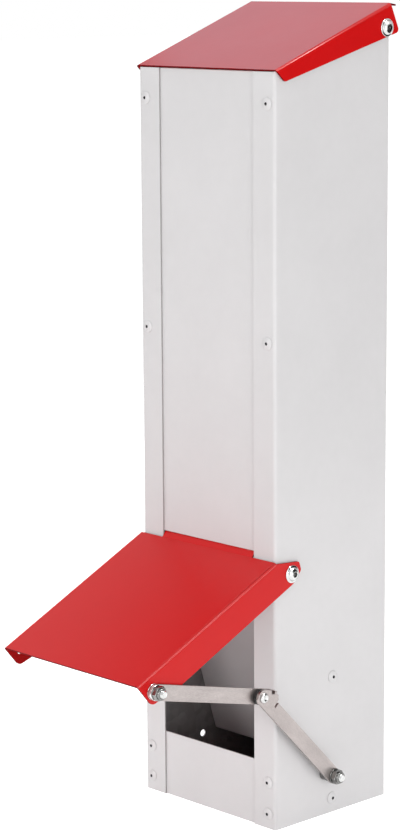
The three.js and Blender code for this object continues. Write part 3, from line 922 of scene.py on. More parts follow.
@dataclass
class Column:
    """The folded body: outer shell, two front panels, floor tray and leaning baffle.

    Attributes:
        side: Half the width.
        front: Y of the front face.
        rear: Y of the back face.
    """

    side: float = 72.5
    front: float = -61.5
    rear: float = 61.5
    sheet: float = 1.2
    bend: float = 2.5
    front_return: float = 22.5
    ridge: Point = (50.02, 612.49)
    roof_front: float = 570.42
    roof_rear: float = 611.81
    mouth_top: float = 213.7
    sill: float = 51.3
    tray_flange: float = 21.0
    tray_fold: float = 1.8
    tray_relief: float = 2.0
    baffle_sheet: float = 1.0
    baffle_foot: Point = (13.53, 33.5)
    baffle_bend: float = 265.3
    baffle_hem: float = 12.0
    baffle_flange: float = 20.95
    baffle_fold: float = 1.6
    broken_edge: float = 0.25
    rivet_bore: float = 2.4 + BORE_GAP
    rivet_edge: float = 7.6
    front_rivets: tuple[float, ...] = (11.6, 36.4, 372.4, 547.5)
    side_rivets: tuple[Point, ...] = ((0.0, 11.6), (0.55, 108.5))
    hinges: tuple[Point, ...] = (LID_HINGE, HOOD_HINGE)
    insert_bore: float = 4.2 + BORE_GAP
    foot: Point = STAY_FOOT
    foot_bore: float = 3.0 + BORE_GAP
    spare_hole: Point = (0.0, 31.6)
    spare_bore: float = 2.75
    hanger_bore: float = 3.5
    hanger: Point = (35.0, 480.0)

    @property
    def panel_front(self) -> float:
        """Y of the panels' front face."""
        return self.front + self.sheet + SEAT_GAP

    @property
    def liner_front(self) -> float:
        """Y where the tray and the baffle meet the panels' back."""
        return self.panel_front + self.sheet + SEAT_GAP

    @property
    def liner_face(self) -> float:
        """X of the outer face of a sheet that lines the wall."""
        return self.side - self.sheet - SEAT_GAP

    @property
    def rivet_column(self) -> float:
        """X of the front rivets."""
        return self.side - self.rivet_edge

    def across(self, *points: Point) -> list[Place]:
        """List the places on both side walls of points of the side view."""
        return [(hand.value * self.side, y, z) for y, z in points for hand in Hand]

    def along(self, heights: tuple[float, ...], y: float) -> list[Place]:
        """List the places of the front rivets at these heights."""
        return [(hand.value * self.rivet_column, y, z) for z in heights for hand in Hand]

    def shell(self) -> Piece:
        """Fold the outer shell: both walls, the back and the two front returns.

        Returns:
            The shell with its holes.
        """
        piece = block("shell", (-self.side, self.front, 0), (self.side, self.rear, self.ridge[1] + CLEAR))
        with editing(piece):
            remove_faces(piece, lambda face: abs(face.normal.z) > 0.9 or face.normal.y < -0.9)
            for hand in Hand:
                wall = hand.value * self.side
                pick_edges(piece, lambda at: near(at.x, wall) and near(at.y, self.front))
                extend(-hand.value * self.front_return, 0, 0)
            merge_and_face_out()
            pick_edges(piece, lambda at: near(abs(at.x), self.side) and near(abs(at.y), self.rear))
            fold(self.bend, WALL_FOLD)
            slopes = ((self.front, self.roof_front, -1), (self.rear, self.roof_rear, 1))
            for y, z, way in slopes:
                out = Vector((0, (self.ridge[1] - z) * way, (y - self.ridge[0]) * way)).normalized()
                bpy.ops.mesh.select_all(action="SELECT")
                bpy.ops.mesh.bisect(plane_co=(0, *self.ridge), plane_no=out, clear_outer=True, use_fill=False)
        give_thickness(piece, self.sheet)
        drill(piece, self.rivet_bore, self.along(self.front_rivets, self.front), Axis.Y)
        drill(piece, self.rivet_bore, self.across(*self.side_rivets))
        drill(piece, self.insert_bore, self.across(*self.hinges))
        drill(piece, self.foot_bore, [(self.side, *self.foot)])
        drill(piece, self.spare_bore, [(-self.side, *self.spare_hole)])
        out, height = self.hanger
        drill(piece, self.hanger_bore, [(hand.value * out, self.rear, height) for hand in Hand], Axis.Y)
        soften(piece, self.broken_edge)
        return piece

    def panel(self, bottom: float, top: float, rivets: tuple[float, ...]) -> Piece:
        """Make a flat front panel.

        Args:
            bottom: Its lowest height.
            top: Its highest height.
            rivets: Heights of its rivet holes.

        Returns:
            The panel.
        """
        half, face = self.side - self.bend - SEAT_GAP, self.panel_front
        piece = block("panel", (-half, face, bottom), (half, face + self.sheet, top))
        drill(piece, self.rivet_bore, self.along(rivets, face), Axis.Y)
        soften(piece, self.broken_edge)
        return piece

    def tray(self) -> Piece:
        """Fold the floor tray, open at its corners.

        Returns:
            The tray.
        """
        front, back = self.liner_front, self.rear - self.sheet - SEAT_GAP
        half, relief = self.liner_face, self.tray_relief
        piece = block("tray", (-half, front, 0), (half, back, self.tray_flange))
        with editing(piece):
            remove_faces(piece, lambda face: face.normal.z > 0.9)
            pick_edges(piece, lambda at: near(at.z, 0))
            fold(self.tray_fold, SMALL_FOLD)
        give_thickness(piece, self.sheet)
        reach = Vector((relief, relief, self.tray_flange * 2))
        for hand in Hand:
            for y in (front, back):
                middle = Vector((hand.value * half, y, 0))
                combine(piece, block("notch", middle - reach, middle + reach), Meeting.CUT)
        drill(piece, self.rivet_bore, self.along(self.front_rivets[:1], front), Axis.Y)
        drill(piece, self.rivet_bore, self.across(self.side_rivets[0]))
        soften(piece, self.broken_edge)
        return piece

    def baffle(self) -> Piece:
        """Fold the leaning baffle: a hem under the panel, the chute and two side flanges.

        Returns:
            The baffle.
        """
        half, front, bend = self.liner_face, self.liner_front, self.baffle_bend
        high = (half, front + self.baffle_sheet, bend + self.baffle_hem)
        piece = block("baffle", (-half, front, bend), high)
        with editing(piece):
            remove_faces(piece, lambda face: face.normal.y > -0.9)
            pick_edges(piece, lambda at: near(at.z, bend))
            extend(0, self.baffle_foot[0] - front, self.baffle_foot[1] - bend)
            pick_edges(piece, lambda at: near(abs(at.x), half) and at.z < bend + 0.01)
            extend(0, self.baffle_flange, 0)
            merge_and_face_out()
            pick(piece, Element.EDGE, lambda edge: len(edge.link_faces) == 2 and edge.calc_face_angle() > 0.1)
            fold(self.baffle_fold, SMALL_FOLD)
            chute = max(bmesh.from_edit_mesh(piece.data).faces, key=lambda face: face.calc_area())
            if chute.normal.y > 0:
                bpy.ops.mesh.select_all(action="SELECT")
                bpy.ops.mesh.flip_normals()
        give_thickness(piece, self.baffle_sheet)
        drill(piece, self.rivet_bore, self.across(self.side_rivets[1]))
        soften(piece, self.broken_edge)
        return piece

    def make(self) -> None:
        """Make and seat every piece of the body."""
        low, high = self.front_rivets[:2], self.front_rivets[2:]
        for node, piece, finishes in (
            # The shell's inside takes the darkened galvanised sheet, which is partly painted shade.
            ("body_shell", self.shell(), [WHITE, BARE_AND_SHADED, WHITE_EDGE_SHADE]),
            ("front_upper_panel", self.panel(self.mouth_top, self.roof_front, high), [WHITE]),
            ("front_lower_panel", self.panel(0.0, self.sill, low), [WHITE]),
            ("floor_tray", self.tray(), [BARE_AND_SHADED, BARE_AND_SHADED, BARE_AND_SHADED]),
            # The baffle's faces take the darker white, which is painted shade. Its cut edges take the
            # darkened edge colour, which is partly painted shade.
            ("feed_baffle", self.baffle(), [SHADED_WHITE, SHADED_WHITE, WHITE_EDGE_SHADE]),
        ):
            seat(piece, node, "column", finishes)


@dataclass
class Rivets:
    """Twelve blind rivets, painted with the body."""

    column: Column
    shank: float = 2.4
    head: float = 4.75
    head_height: float = 1.6
    rim: float = 0.5
    mandrel: float = 1.2
    mandrel_depth: float = 1.0
    tail: float = 3.6
    tail_length: float = 3.0

    def model(self, grip: float) -> Piece:
        """Turn one rivet for a stack of sheets, with its head towards +X.

        Args:
            grip: The stack's thickness.

        Returns:
            The rivet. Its recess and the broken mandrel in it have the second finish, which is painted shade.
        """
        head, hole, tail = self.head, self.mandrel, self.tail
        crown, edge = SEAT_GAP + self.head_height, SEAT_GAP + self.rim
        floor, top = crown - self.mandrel_depth, -grip - SEAT_GAP
        end = top - self.tail_length
        profile = [(0.0, end), (tail - 1.2, end), (tail - 0.35, end + 0.45), (tail, end + 1.3)]
        profile += [(tail, top - 0.3), (tail - 0.4, top), (self.shank, top), (self.shank, SEAT_GAP)]
        profile += [(head - 0.15, SEAT_GAP), (head, SEAT_GAP + 0.2), (head - 0.05, edge)]
        for share in (0.3, 0.55, 0.78, 0.93):
            profile.append((head - (head - hole) * share, edge + (self.head_height - self.rim) * share**0.55))
        profile += [(hole + 0.16, crown), (hole, crown - 0.12), (hole, floor)]
        profile += [(hole * 0.55, floor + 0.18), (0.0, floor + 0.25)]
        piece = turned("rivet", profile, steps=32, smoothed=40)

        def inside(at: Vector) -> bool:
            """Say whether a place is in the head's recess."""
            return math.hypot(at.y, at.z) < hole + 0.02 and at.x > floor - 0.01

        # The recess and the mandrel take the second finish, which is painted shade.
        paint(piece, 1, lambda face: all(inside(vertex.co) for vertex in face.verts))
        return piece

    def make(self) -> None:
        """Make and seat the twelve rivets."""
        column = self.column
        panel = column.liner_front - SEAT_GAP - column.front
        tray = column.liner_front + column.sheet - column.front
        lined = column.sheet + SEAT_GAP
        grips = (tray, panel, panel, panel)
        front = zip(("tray", "sill", "panel_low", "panel_high"), column.front_rivets, grips)
        side = zip(("tray", "baffle"), column.side_rivets, (column.sheet, column.baffle_sheet))
        rows = [(f"front_rivet_{row}", column.rivet_column, (column.front, z), grip, (-90.0, -90.0))
                for row, z, grip in front]
        rows += [(f"side_rivet_{row}", column.side, point, lined + liner, (180.0, 0.0))
                 for row, point, liner in side]
        for name, x, point, grip, turns in rows:
            master = self.model(grip)
            seat_pair(master, name, x, point, [WHITE, RECESS_SHADE], turns)
            bpy.data.objects.remove(master)


@dataclass
class Hinges:
    """Threaded inserts in the walls, and the domed screws that the lid and the hood turn on."""

    column: Column
    screw_seat: float = 75.1
    screw_radius: float = 3.0
    screw_length: float = 13.0
    thread_pitch: float = 1.0
    thread_depth: float = 0.3
    head_radius: float = 6.8
    head_rim: float = 1.0
    dome_radius: float = 5.2
    dome_height: float = 2.7
    socket_flats: float = 4.0
    socket_depth: float = 2.2
    flange_radius: float = 6.2
    flange: float = 1.0
    barrel_radius: float = 4.2
    barrel_length: float = 11.0
    broken_edge: float = 0.12

    def insert(self) -> Piece:
        """Turn a threaded insert: a flange on the wall and a barrel through it.

        Returns:
            The insert, with the wall's face at X zero.
        """
        bore, face = self.screw_radius + BORE_GAP, SEAT_GAP + self.flange
        barrel, end, flange = self.barrel_radius, -self.barrel_length, self.flange_radius
        profile = [(bore, end), (barrel - 0.5, end), (barrel, end + 0.7), (barrel, SEAT_GAP)]
        profile += [(flange, SEAT_GAP), (flange, face - 0.25), (flange - 0.25, face)]
        profile += [(bore + 0.3, face), (bore, face - 0.3)]
        return turned("insert", profile, smoothed=35)

    def screw(self) -> Piece:
        """Turn a domed screw with a rim, and sink its socket.

        Returns:
            The screw, with its head's seat at X zero. Its socket has the second finish, which is painted
            shade.
        """
        shank, rim, head, dome = self.screw_radius, self.head_rim, self.head_radius, self.dome_radius
        pitch, end = self.thread_pitch, -self.screw_length
        profile = [(0.0, end), (shank - 0.6, end)]
        for ridge in range(int((self.screw_length - 1.6) / pitch)):
            start = end + 0.6 + ridge * pitch
            profile += [(shank - self.thread_depth, start), (shank, start + pitch / 2)]
        profile += [(shank - 0.1, -0.3), (shank, 0.0), (head - 0.2, 0.0), (head, 0.2), (head, 0.55)]
        profile += [(head - 0.35, 0.85), (dome + 0.3, rim - 0.04), (dome, rim + 0.12)]
        for angle in (math.radians(degrees) for degrees in (15, 30, 45, 60, 74)):
            profile.append((dome * math.cos(angle), rim + self.dome_height * math.sin(angle)))
        top = rim + self.dome_height
        piece = turned("screw", [*profile, (0.0, top)])
        point = self.socket_flats / 2 / math.cos(math.pi / 6)
        cutter = rod("socket_cutter", 6, point, (top, 0, 0), 2 * self.socket_depth)
        settle()
        add_slots(piece, 2)
        combine(piece, cutter, Meeting.CUT)
        # The socket's faces take the darker plate as painted shade in the recess.
        paint(
            piece,
            1,
            lambda face: face.calc_center_median().x > top - self.socket_depth - 0.01
            and all(math.hypot(vertex.co.y, vertex.co.z) < point + 0.01 for vertex in face.verts)
            and (face.normal.x > 0.99 or abs(face.normal.x) < 0.05),
        )
        soften(piece, self.broken_edge, angle=46.0)
        return piece

    def make(self) -> None:
        """Make and seat the inserts and the screws."""
        insert, screw = self.insert(), self.screw()
        for name, point in zip(("lid", "hood"), self.column.hinges):
            seat_pair(insert, f"{name}_hinge_insert", self.column.side, point, [ZINC])
            seat_pair(screw, f"{name}_hinge_screw", self.screw_seat, point, [BRIGHT, DARK_PLATE_AND_SHADE])
        bpy.data.objects.remove(insert)
        bpy.data.objects.remove(screw)


# Lid and hood: level, hinge axis at the origin


@dataclass
class FoldedCover:
    """A flat plate with both sides folded down, hung on two hinge screws.

    Attributes:
        hinge: The hinge axis in the side view.
        pitch: The plate's slope, in degrees.
        outside: Half the outer width.
        top: Height of the plate's top over the hinge axis.
    """

    hinge: Point
    pitch: float
    outside: float = 74.95
    sheet: float = 1.2
    bend: float = 2.2
    top: float = 15.6
    hinge_bore: float = 3.3
    broken_edge: float = 0.22

    def folded(self, name: str, side: list[Corner], depth: float) -> Piece:
        """Fold a channel, and trim it to its side view.

        Args:
            name: The piece's name.
            side: The outline of its side view.
            depth: How deep the channel is before it is trimmed.

        Returns:
            The trimmed channel.
        """
        start, end = (limit(corner.y for corner in side) for limit in (min, max))
        piece = block(name, (-self.outside, start, self.top - depth), (self.outside, end, self.top))
        with editing(piece):
            remove_faces(piece, lambda face: abs(face.normal.y) > 0.9 or face.normal.z < -0.9)
            pick(piece, Element.EDGE, lambda edge: len(edge.link_faces) == 2)
            fold(self.bend, WALL_FOLD)
        give_thickness(piece, self.sheet)
        cutter = plate("side_cut", side, -self.outside - CLEAR, self.outside + CLEAR)
        paint(cutter, 2)
        combine(piece, cutter, Meeting.KEEP)
        return piece

    def finish(self, piece: Piece, name: str, finishes: list[Finish]) -> None:
        """Break the edges of the lid or the hood, and seat it."""
        soften(piece, self.broken_edge, angle=28.0)
        seat(piece, f"{name}_panel", name, finishes, Seat((0.0, *self.hinge), turn_x=self.pitch))

    def bore_hinges(self, piece: Piece) -> None:
        """Drill both hinge holes."""
        drill(piece, self.hinge_bore, [(hand.value * self.outside, 0, 0) for hand in Hand])


@dataclass
class Lid(FoldedCover):
    """The pitched lid, with a lip bent down at its rear edge."""

    hinge: Point = LID_HINGE
    pitch: float = 20.67
    front_edge: float = -118.95
    rear_reach: float = 10.5
    toe: float = 4.9
    heel: float = 1.5
    flange_front: float = 11.2
    flange_rear: float = 23.6
    corner: float = 3.0
    lip: float = 8.0
    lip_angle: float = 30.0

    def make(self) -> None:
        """Fold and seat the lid."""
        above, top, under = self.top + CLEAR, self.top, self.top - self.sheet
        front, rear, angle = self.front_edge, self.rear_reach, math.radians(self.lip_angle)
        side = [
            Corner(front, above),
            Corner(front, under),
            Corner(front + self.toe, top - self.flange_front, self.corner),
            Corner(rear + self.heel, top - self.flange_rear, self.corner),
            Corner(rear, under),
            Corner(rear, above),
        ]
        piece = self.folded("lid", side, self.flange_rear)
        run, fall = self.lip * math.cos(angle), self.lip * math.sin(angle)
        lip = [
            Corner(rear - self.sheet, top),
            Corner(rear - self.sheet, under),
            Corner(rear - self.sheet * math.tan(angle / 2), under),
            Corner(rear + run - self.sheet * math.sin(angle), top - fall - self.sheet * math.cos(angle)),
            Corner(rear + run, top - fall),
            Corner(rear, top),
        ]
        strip = plate("lip", lip, self.bend - self.outside, self.outside - self.bend)
        # The lip's faces take the fourth finish, the dark grey.
        paint(strip, 3)
        combine(piece, strip, Meeting.ADD)
        self.bore_hinges(piece)
        # The lid's cut edges take the near-black red, which is partly painted shade.
        self.finish(piece, "lid", [RED, RED, RED_EDGE_SHADE, GREY_LIP])


@dataclass
class Hood(FoldedCover):
    """The rain hood over the mouth, with two ears that the hinge screws pass through."""

    hinge: Point = HOOD_HINGE
    pitch: float = 25.5
    top: float = 17.4
    setback: float = 10.3
    length: float = 154.6
    toe_slant: float = 5.0
    toe_depth: float = 20.8
    toe_length: float = 34.0
    flange_depth: float = 24.8
    ear_depth: float = 25.1
    ear_setback: float = 1.9
    ear_heel: float = 9.8
    ear_heel_drop: float = 20.2
    ear_reach: float = 10.6
    ear_top_drop: float = 13.0
    corner: float = 5.0
    ear_corner: float = 2.5
    tongue: Point = (5.1, 2.3)
    tongue_half: float = 49.4
    stud_inset: float = 10.7
    stud_drop: float = 12.1
    stud_bore: float = 4.5
    spare_bore: float = 2.2
    spare_rise: float = 0.6

    def make(self) -> None:
        """Fold and seat the hood, and the stud's head in its flange."""
        above, top, under = self.top + CLEAR, self.top, self.top - self.sheet
        rear, front = -self.setback, -self.setback - self.length
        side = [
            Corner(front, above),
            Corner(front, under),
            Corner(front + self.toe_slant, top - self.toe_depth, self.corner),
            Corner(front + self.toe_length, top - self.flange_depth, self.corner),
            Corner(-self.ear_setback, top - self.ear_depth, self.corner),
            Corner(self.ear_heel, top - self.ear_heel_drop, self.ear_corner),
            Corner(self.ear_reach, top - self.ear_top_drop, self.ear_corner),
            Corner(rear, under),
            Corner(rear, above),
        ]
        piece = self.folded("hood", side, self.ear_depth)
        with editing(piece):
            for hand in Hand:
                bpy.ops.mesh.select_all(action="SELECT")
                cut = (hand.value * self.tongue_half, 0, 0)
                bpy.ops.mesh.bisect(plane_co=cut, plane_no=(1, 0, 0), use_fill=False)
            pick(
                piece,
                Element.FACE,
                lambda face: face.normal.y > 0.99
                and near(face.calc_center_median().y, rear)
                and abs(face.calc_center_median().x) < self.tongue_half,
            )
            bpy.ops.mesh.extrude_region_move(TRANSFORM_OT_translate={"value": (0, *self.tongue)})
        self.bore_hinges(piece)
        stud = (front + self.stud_inset, top - self.stud_drop)
        drill(piece, self.stud_bore, [(self.outside, *stud)])
        drill(piece, self.spare_bore, [(-self.outside, stud[0], stud[1] + self.spare_rise)])
        # The hood's inner faces take the darker red, which is painted shade. Its cut edges take the
        # near-black red, which is partly painted shade.
        self.finish(piece, "hood", [RED, SHADED_RED, RED_EDGE_SHADE])
        profile = [(0.0, 0.0), (4.0, 0.0), (4.2, 0.2), (4.2, 1.0), (4.0, self.sheet), (0.0, self.sheet)]
        head = turned("stud_head", profile, smoothed=35)
        y, z = Vector(self.hinge) + Matrix.Rotation(math.radians(self.pitch), 2) @ Vector(stud)
        seat(head, "stay_stud_head", "hood", [BRIGHT], Seat((self.outside - self.sheet, y, z)))


# Folding stay


def slope(line: Vector) -> float:
    """The angle of a line of the side view, in degrees."""
    return math.degrees(math.atan2(line.y, line.x))


@dataclass
class Stay:
    """Two flat bars that fold at a riveted knuckle, on a stud at the hood and a bolt at the wall.

    Attributes:
        half: Half a bar's width.
        outside: X of the lower bar's outer face.
    """

    stud: Point = (-187.66, 136.199)
    knuckle: Point = (-84.482, 111.481)
    foot: Point = STAY_FOOT
    colour: Colour = (0.41, 0.37, 0.36)
    roughness: float = 0.34
    half: float = 6.0
    thickness: float = 2.0
    tail: float = 11.2
    tail_corner: float = 0.8
    tab_width: float = 2.6
    tab_relief: float = 1.0
    tab_proud: float = 1.6
    notch_play: float = 0.4
    lobe_reach: float = 14.5
    lobe_root: float = 15.8
    lobe_corner: float = 1.2
    slot_width: float = 1.8
    slot_depth: float = 4.4
    upper_face: float = 76.05
    lower_face: float = 81.55
    outside: float = 83.55
    screw_bore: float = 3.3
    knuckle_bore: float = 2.8
    broken_edge: float = 0.28
    washer_face: float = 78.2
    washer_radius: float = 6.0
    washer: float = 3.2
    shank: float = 2.5
    head_radius: float = 3.9
    head_height: float = 1.9
    rivet_tail: float = 1.4

    @property
    def upper_line(self) -> Vector:
        """From the stud to the knuckle."""
        return Vector(self.knuckle) - Vector(self.stud)

    @property
    def lower_line(self) -> Vector:
        """From the knuckle to the foot."""
        return Vector(self.foot) - Vector(self.knuckle)

    def bored(self, piece: Piece, *pivots: Point) -> Piece:
        """Drill a bar's pivot holes, break its edges and return it.

        Args:
            piece: The bar.
            pivots: Each hole's radius and its place along the bar.

        Returns:
            The finished bar.
        """
        for radius, y in pivots:
            drill(piece, radius, [(self.upper_face, y, 0)], length=LONG_BIT)
        soften(piece, self.broken_edge)
        return piece

    def upper_bar(self) -> Piece:
        """Shape the upper bar, with the tab on its tail that stops the stay.

        Returns:
            The bar, with its stud hole at the origin.
        """
        half, length, face = self.half, self.upper_line.length, self.upper_face
        end, low, back = length + self.tail, half - self.tab_width, face + self.thickness
        tail = [Corner(end, -half, self.tail_corner), Corner(end, half)]
        piece = plate("upper_bar", [Corner(-half, -half, half), *tail, Corner(-half, half, half)], face, back)
        tab = rectangle(end - self.thickness, end, low, half)
        combine(piece, plate("tab", tab, face, self.outside + self.tab_proud), Meeting.ADD)
        relief = rectangle(end - self.thickness - self.tab_relief, end + CLEAR, low - self.tab_relief, low)
        combine(piece, plate("relief", relief, face - CLEAR, back + CLEAR), Meeting.CUT)
        return self.bored(piece, (self.screw_bore, 0.0), (self.knuckle_bore, length))

    def lower_bar(self) -> Piece:
        """Shape the lower bar, with the notched lobe that the tab rests in.

        Returns:
            The bar, with its knuckle hole at the origin.
        """
        half, start, end, length = self.half, self.lower_face, self.outside, self.lower_line.length
        turn = Matrix.Rotation(math.radians(slope(self.upper_line) - slope(self.lower_line)), 2)
        blade = [Corner(corner.y, corner.z, half) for corner in rectangle(-half, length + half, -half, half)]
        piece = plate("lower_bar", blade, start, end)
        top, tip = turn @ Vector((0, half)), turn @ Vector((self.lobe_reach, half))
        lobe = [Corner(0, 0), Corner(self.lobe_root, 0), Corner(self.lobe_root, half)]
        lobe += [Corner(*tip, self.lobe_corner), Corner(*top)]
        combine(piece, plate("lobe", lobe, start, end), Meeting.ADD)
        tab_start, tab_low = self.tail - self.thickness, half - self.tab_width
        sweep = math.hypot(tab_start, tab_low) - self.notch_play
        notch_start = math.sqrt(sweep**2 - half**2)
        notch = rectangle(notch_start, self.lobe_reach + CLEAR, tab_low - self.notch_play, 2 * half)
        notch = [Corner(*(turn @ Vector((corner.y, corner.z)))) for corner in notch]
        gap = rectangle(self.lobe_root - self.slot_width, self.lobe_root, half - self.slot_depth, 2 * half)
        for outline in (notch, gap):
            combine(piece, plate("cutter", outline, start - CLEAR, end + CLEAR), Meeting.CUT)
        return self.bored(piece, (self.knuckle_bore, 0.0), (self.screw_bore, length))

    def rivet(self) -> Piece:
        """Turn the knuckle's rivet, dished in its outer head.

        Returns:
            The rivet, with the upper bar's inner face at X zero.
        """
        grip, head, end = self.outside - self.upper_face + RUNNING_GAP, self.head_radius, self.rivet_tail
        crown, inner = grip + self.head_height, -RUNNING_GAP
        profile = [(0.0, inner - end), (head * 0.55, inner - end), (head * 0.85, inner - end * 0.6)]
        profile += [(head, inner), (self.shank, inner), (self.shank, grip), (head - 0.1, grip)]
        profile += [(head, grip + 0.15), (head, grip + 0.55), (head * 0.93, grip + 1.05)]
        dish = ((0.78, 0.3), (0.62, 0.0), (0.52, 0.05), (0.42, 0.35), (0.28, 0.6), (0.0, 0.7))
        profile += [(head * share, crown - drop) for share, drop in dish]
        return turned("knuckle_rivet", profile, smoothed=48)

    def make(self) -> None:
        """Make and seat the bars, the knuckle's rivet and its spacing washer."""
        for name, bar, pivot, line in (
            ("upper", self.upper_bar(), self.stud, self.upper_line),
            ("lower", self.lower_bar(), self.knuckle, self.lower_line),
        ):
            turn = slope(line)
            finish = BrushedSteel(f"brushed_{name}_bar", self.colour, self.roughness, turn=turn)
            place = Seat((0.0, *pivot), turn_x=turn)
            seat(bar, f"stay_{name}_bar", f"stay_{name}", [finish], place)
        place = Seat((self.upper_face, *self.knuckle))
        seat(self.rivet(), "knuckle_rivet", "stay_lower", [BRIGHT], place)
        washer = ring("washer", self.washer_radius, self.knuckle_bore, self.washer)
        place = Seat((self.washer_face, *self.knuckle))
        seat(washer, "knuckle_washer", "stay_lower", [POLYMER], place)


@dataclass
class StayFixings:
    """The stud at the hood and the bolt at the wall, with their washers, nuts and spacer."""

    stay: Stay
    radius: float = 3.0
    bore: float = 3.3
    washer_radius: float = 6.0
    washer: float = 1.0
    inner_washer: float = 0.8
    flats: float = 10.0
    hex_height: float = 4.2
    collar_radius: float = 4.3
    collar_height: float = 1.8
    nut_edge: float = 0.15
    stud_face: float = 75.1
    stud_washer_face: float = 78.15
    stud_nut_face: float = 79.25
    stud_end: float = 87.25
    foot_head_face: float = 71.2
    foot_washer_face: float = 83.7
    foot_nut_face: float = 84.8
    foot_end: float = 92.3
    head_radius: float = 5.0
    head_height: float = 3.2
    spacer_face: float = 72.6
    spacer_radius: float = 5.2
    spacer_end: float = 81.4
    pitch: float = 1.0
    thread_depth: float = 0.32
    chamfer: float = 0.7

    def shank(self, name: str, length: float, head: Profile) -> Piece:
        """Turn a threaded shank from X zero.

        Args:
            name: The piece's name.
            length: The shank's length.
            head: The profile of its head, from the axis, or only its start.

        Returns:
            The threaded piece.
        """
        radius, root = self.radius, self.radius - self.thread_depth
        profile = [*head, (radius, 0.0), (radius, 0.5)]
        ridges = int((length - self.chamfer - 0.8) / self.pitch)
        start = length - self.chamfer - ridges * self.pitch
        for ridge in range(ridges):
            base = start + ridge * self.pitch
            profile += [(root, base), (radius, base + self.pitch * 0.42), (radius, base + self.pitch * 0.58)]
        profile += [(root, length - self.chamfer), (radius - self.chamfer, length), (0.0, length)]
        return turned(name, profile, steps=36, smoothed=35)

    def nut(self) -> Piece:
        """Shape a lock nut: a chamfered hexagon, and a collar with its dark ring.

        Returns:
            The nut, from X zero.
        """
        height, flat = self.hex_height, self.flats / 2
        point = flat / math.cos(math.pi / 6)
        piece = rod("nut", 6, point, (height / 2, 0, 0), height)
        settle()
        rise, face = (point - flat) * 0.75, flat - 0.15
        envelope = [(0.0, -CLEAR), (face, -CLEAR), (face, 0.0), (point + 0.01, rise)]
        envelope += [(point + 0.01, height - rise), (face, height)]
        envelope += [(face, height + CLEAR), (0.0, height + CLEAR)]
        combine(piece, turned("chamfer", envelope), Meeting.KEEP)
        collar, low, top = self.collar_radius, height - 0.5, height + self.collar_height
        profile = [(0.0, low), (collar, low), (collar, top - 0.55), (collar - 0.2, top - 0.2)]
        combine(piece, turned("collar", [*profile, (collar - 0.6, top), (0.0, top)]), Meeting.ADD)
        drill(piece, self.bore, [(0, 0, 0)], length=LONG_BIT)
        soften(piece, self.nut_edge, angle=40.0)
        return piece

    def make(self) -> None:
        """Make and seat every fixing."""
        stud, foot, nut = self.stay.stud, self.stay.foot, self.nut()
        head, under = self.head_radius, -self.head_height
        profile = [(0.0, under + 0.3), (1.6, under + 0.3), (1.9, under), (head - 0.9, under)]
        profile += [(head - 0.25, under + 0.45), (head, under + 1.2), (head, 0.0)]
        washer = ring("washer", self.washer_radius, self.bore, self.washer)
        inner = ring("inner_washer", self.washer_radius, self.bore, self.inner_washer)
        spacer = ring("spacer", self.spacer_radius, self.bore, self.spacer_end - self.spacer_face)
        shaft = self.shank("stud", self.stud_end - self.stud_face, [(0.0, 0.0)])
        bolt = self.shank("bolt", self.foot_end - self.foot_head_face, profile)
        outer, lock = copied(washer, "outer_washer"), copied(nut, "stud_nut")
        for node, body, x, point, finish, piece in (
            ("stay_stud", "stay_upper", self.stud_face, stud, BRIGHT, shaft),
            ("stay_stud_inner_washer", "stay_upper", self.stud_face, stud, BRIGHT, inner),
            ("stay_stud_outer_washer", "stay_upper", self.stud_washer_face, stud, BRIGHT, outer),
            # The nuts, the spacer and the foot washer take the darker plate, whose darkness partly stands in
            # for dark reflections.
            ("stay_stud_nut", "stay_upper", self.stud_nut_face, stud, DARK_PLATE_AND_SHADE, lock),
            ("stay_foot_bolt", "column", self.foot_head_face, foot, BRIGHT, bolt),
            ("stay_foot_spacer", "column", self.spacer_face, foot, DARK_PLATE_AND_SHADE, spacer),
            ("stay_foot_washer", "column", self.foot_washer_face, foot, DARK_PLATE_AND_SHADE, washer),
            ("stay_foot_nut", "column", self.foot_nut_face, foot, DARK_PLATE_AND_SHADE, nut),
        ):
            seat(piece, node, body, [finish], Seat((x, *point)))


# Studio


@dataclass(frozen=True)
class Panel:
    """A square panel of the studio, placed and sized in metres.

    Attributes:
        name: Its name.
        place: Its middle.
        aim: What it faces.
        size: Its side.
    """

    name: str
    place: Place
    aim: Place
    size: float

    @property
    def turn(self) -> Euler:
        """The turn that faces it towards its aim."""
        return (Vector(self.place) - Vector(self.aim)).to_track_quat("Z", "Y").to_euler()


@dataclass(frozen=True)
class Lamp(Panel):
    """A soft lamp.

    Attributes:
        power: Its power in watts.
        lights: Whether it lights the surfaces too, or is only mirrored in them.
    """

    power: float
    lights: bool = True

    def hang(self) -> None:
        """Add the lamp to the scene."""
        data = bpy.data.lights.new(self.name, "AREA")
        data.shape, data.size, data.energy = "SQUARE", self.size, self.power
        lamp = bpy.data.objects.new(self.name, data)
        bpy.context.collection.objects.link(lamp)
        lamp.location, lamp.rotation_euler = self.place, self.turn
        lamp.visible_diffuse = self.lights


@dataclass(frozen=True)
class Card(Panel):
    """A card that only glossy surfaces see, black or glowing.

    Attributes:
        glow: The colour that it gives out.
    """

    glow: Colour = (0.0, 0.0, 0.0)

    def stand(self) -> None:
        """Add the card to the scene."""
        bpy.ops.mesh.primitive_plane_add(size=self.size, location=self.place, rotation=self.turn)
        card = named(self.name)
        settle()
        feeds = {"Base Color": BLACK, "Specular IOR Level": 0.0, "Emission Strength": 1.0}
        feeds["Emission Color"] = (*self.glow, 1.0)
        card.data.materials.append(surface(f"{self.name}_face", feeds)[0])
        card.visible_camera = card.visible_diffuse = card.visible_shadow = False


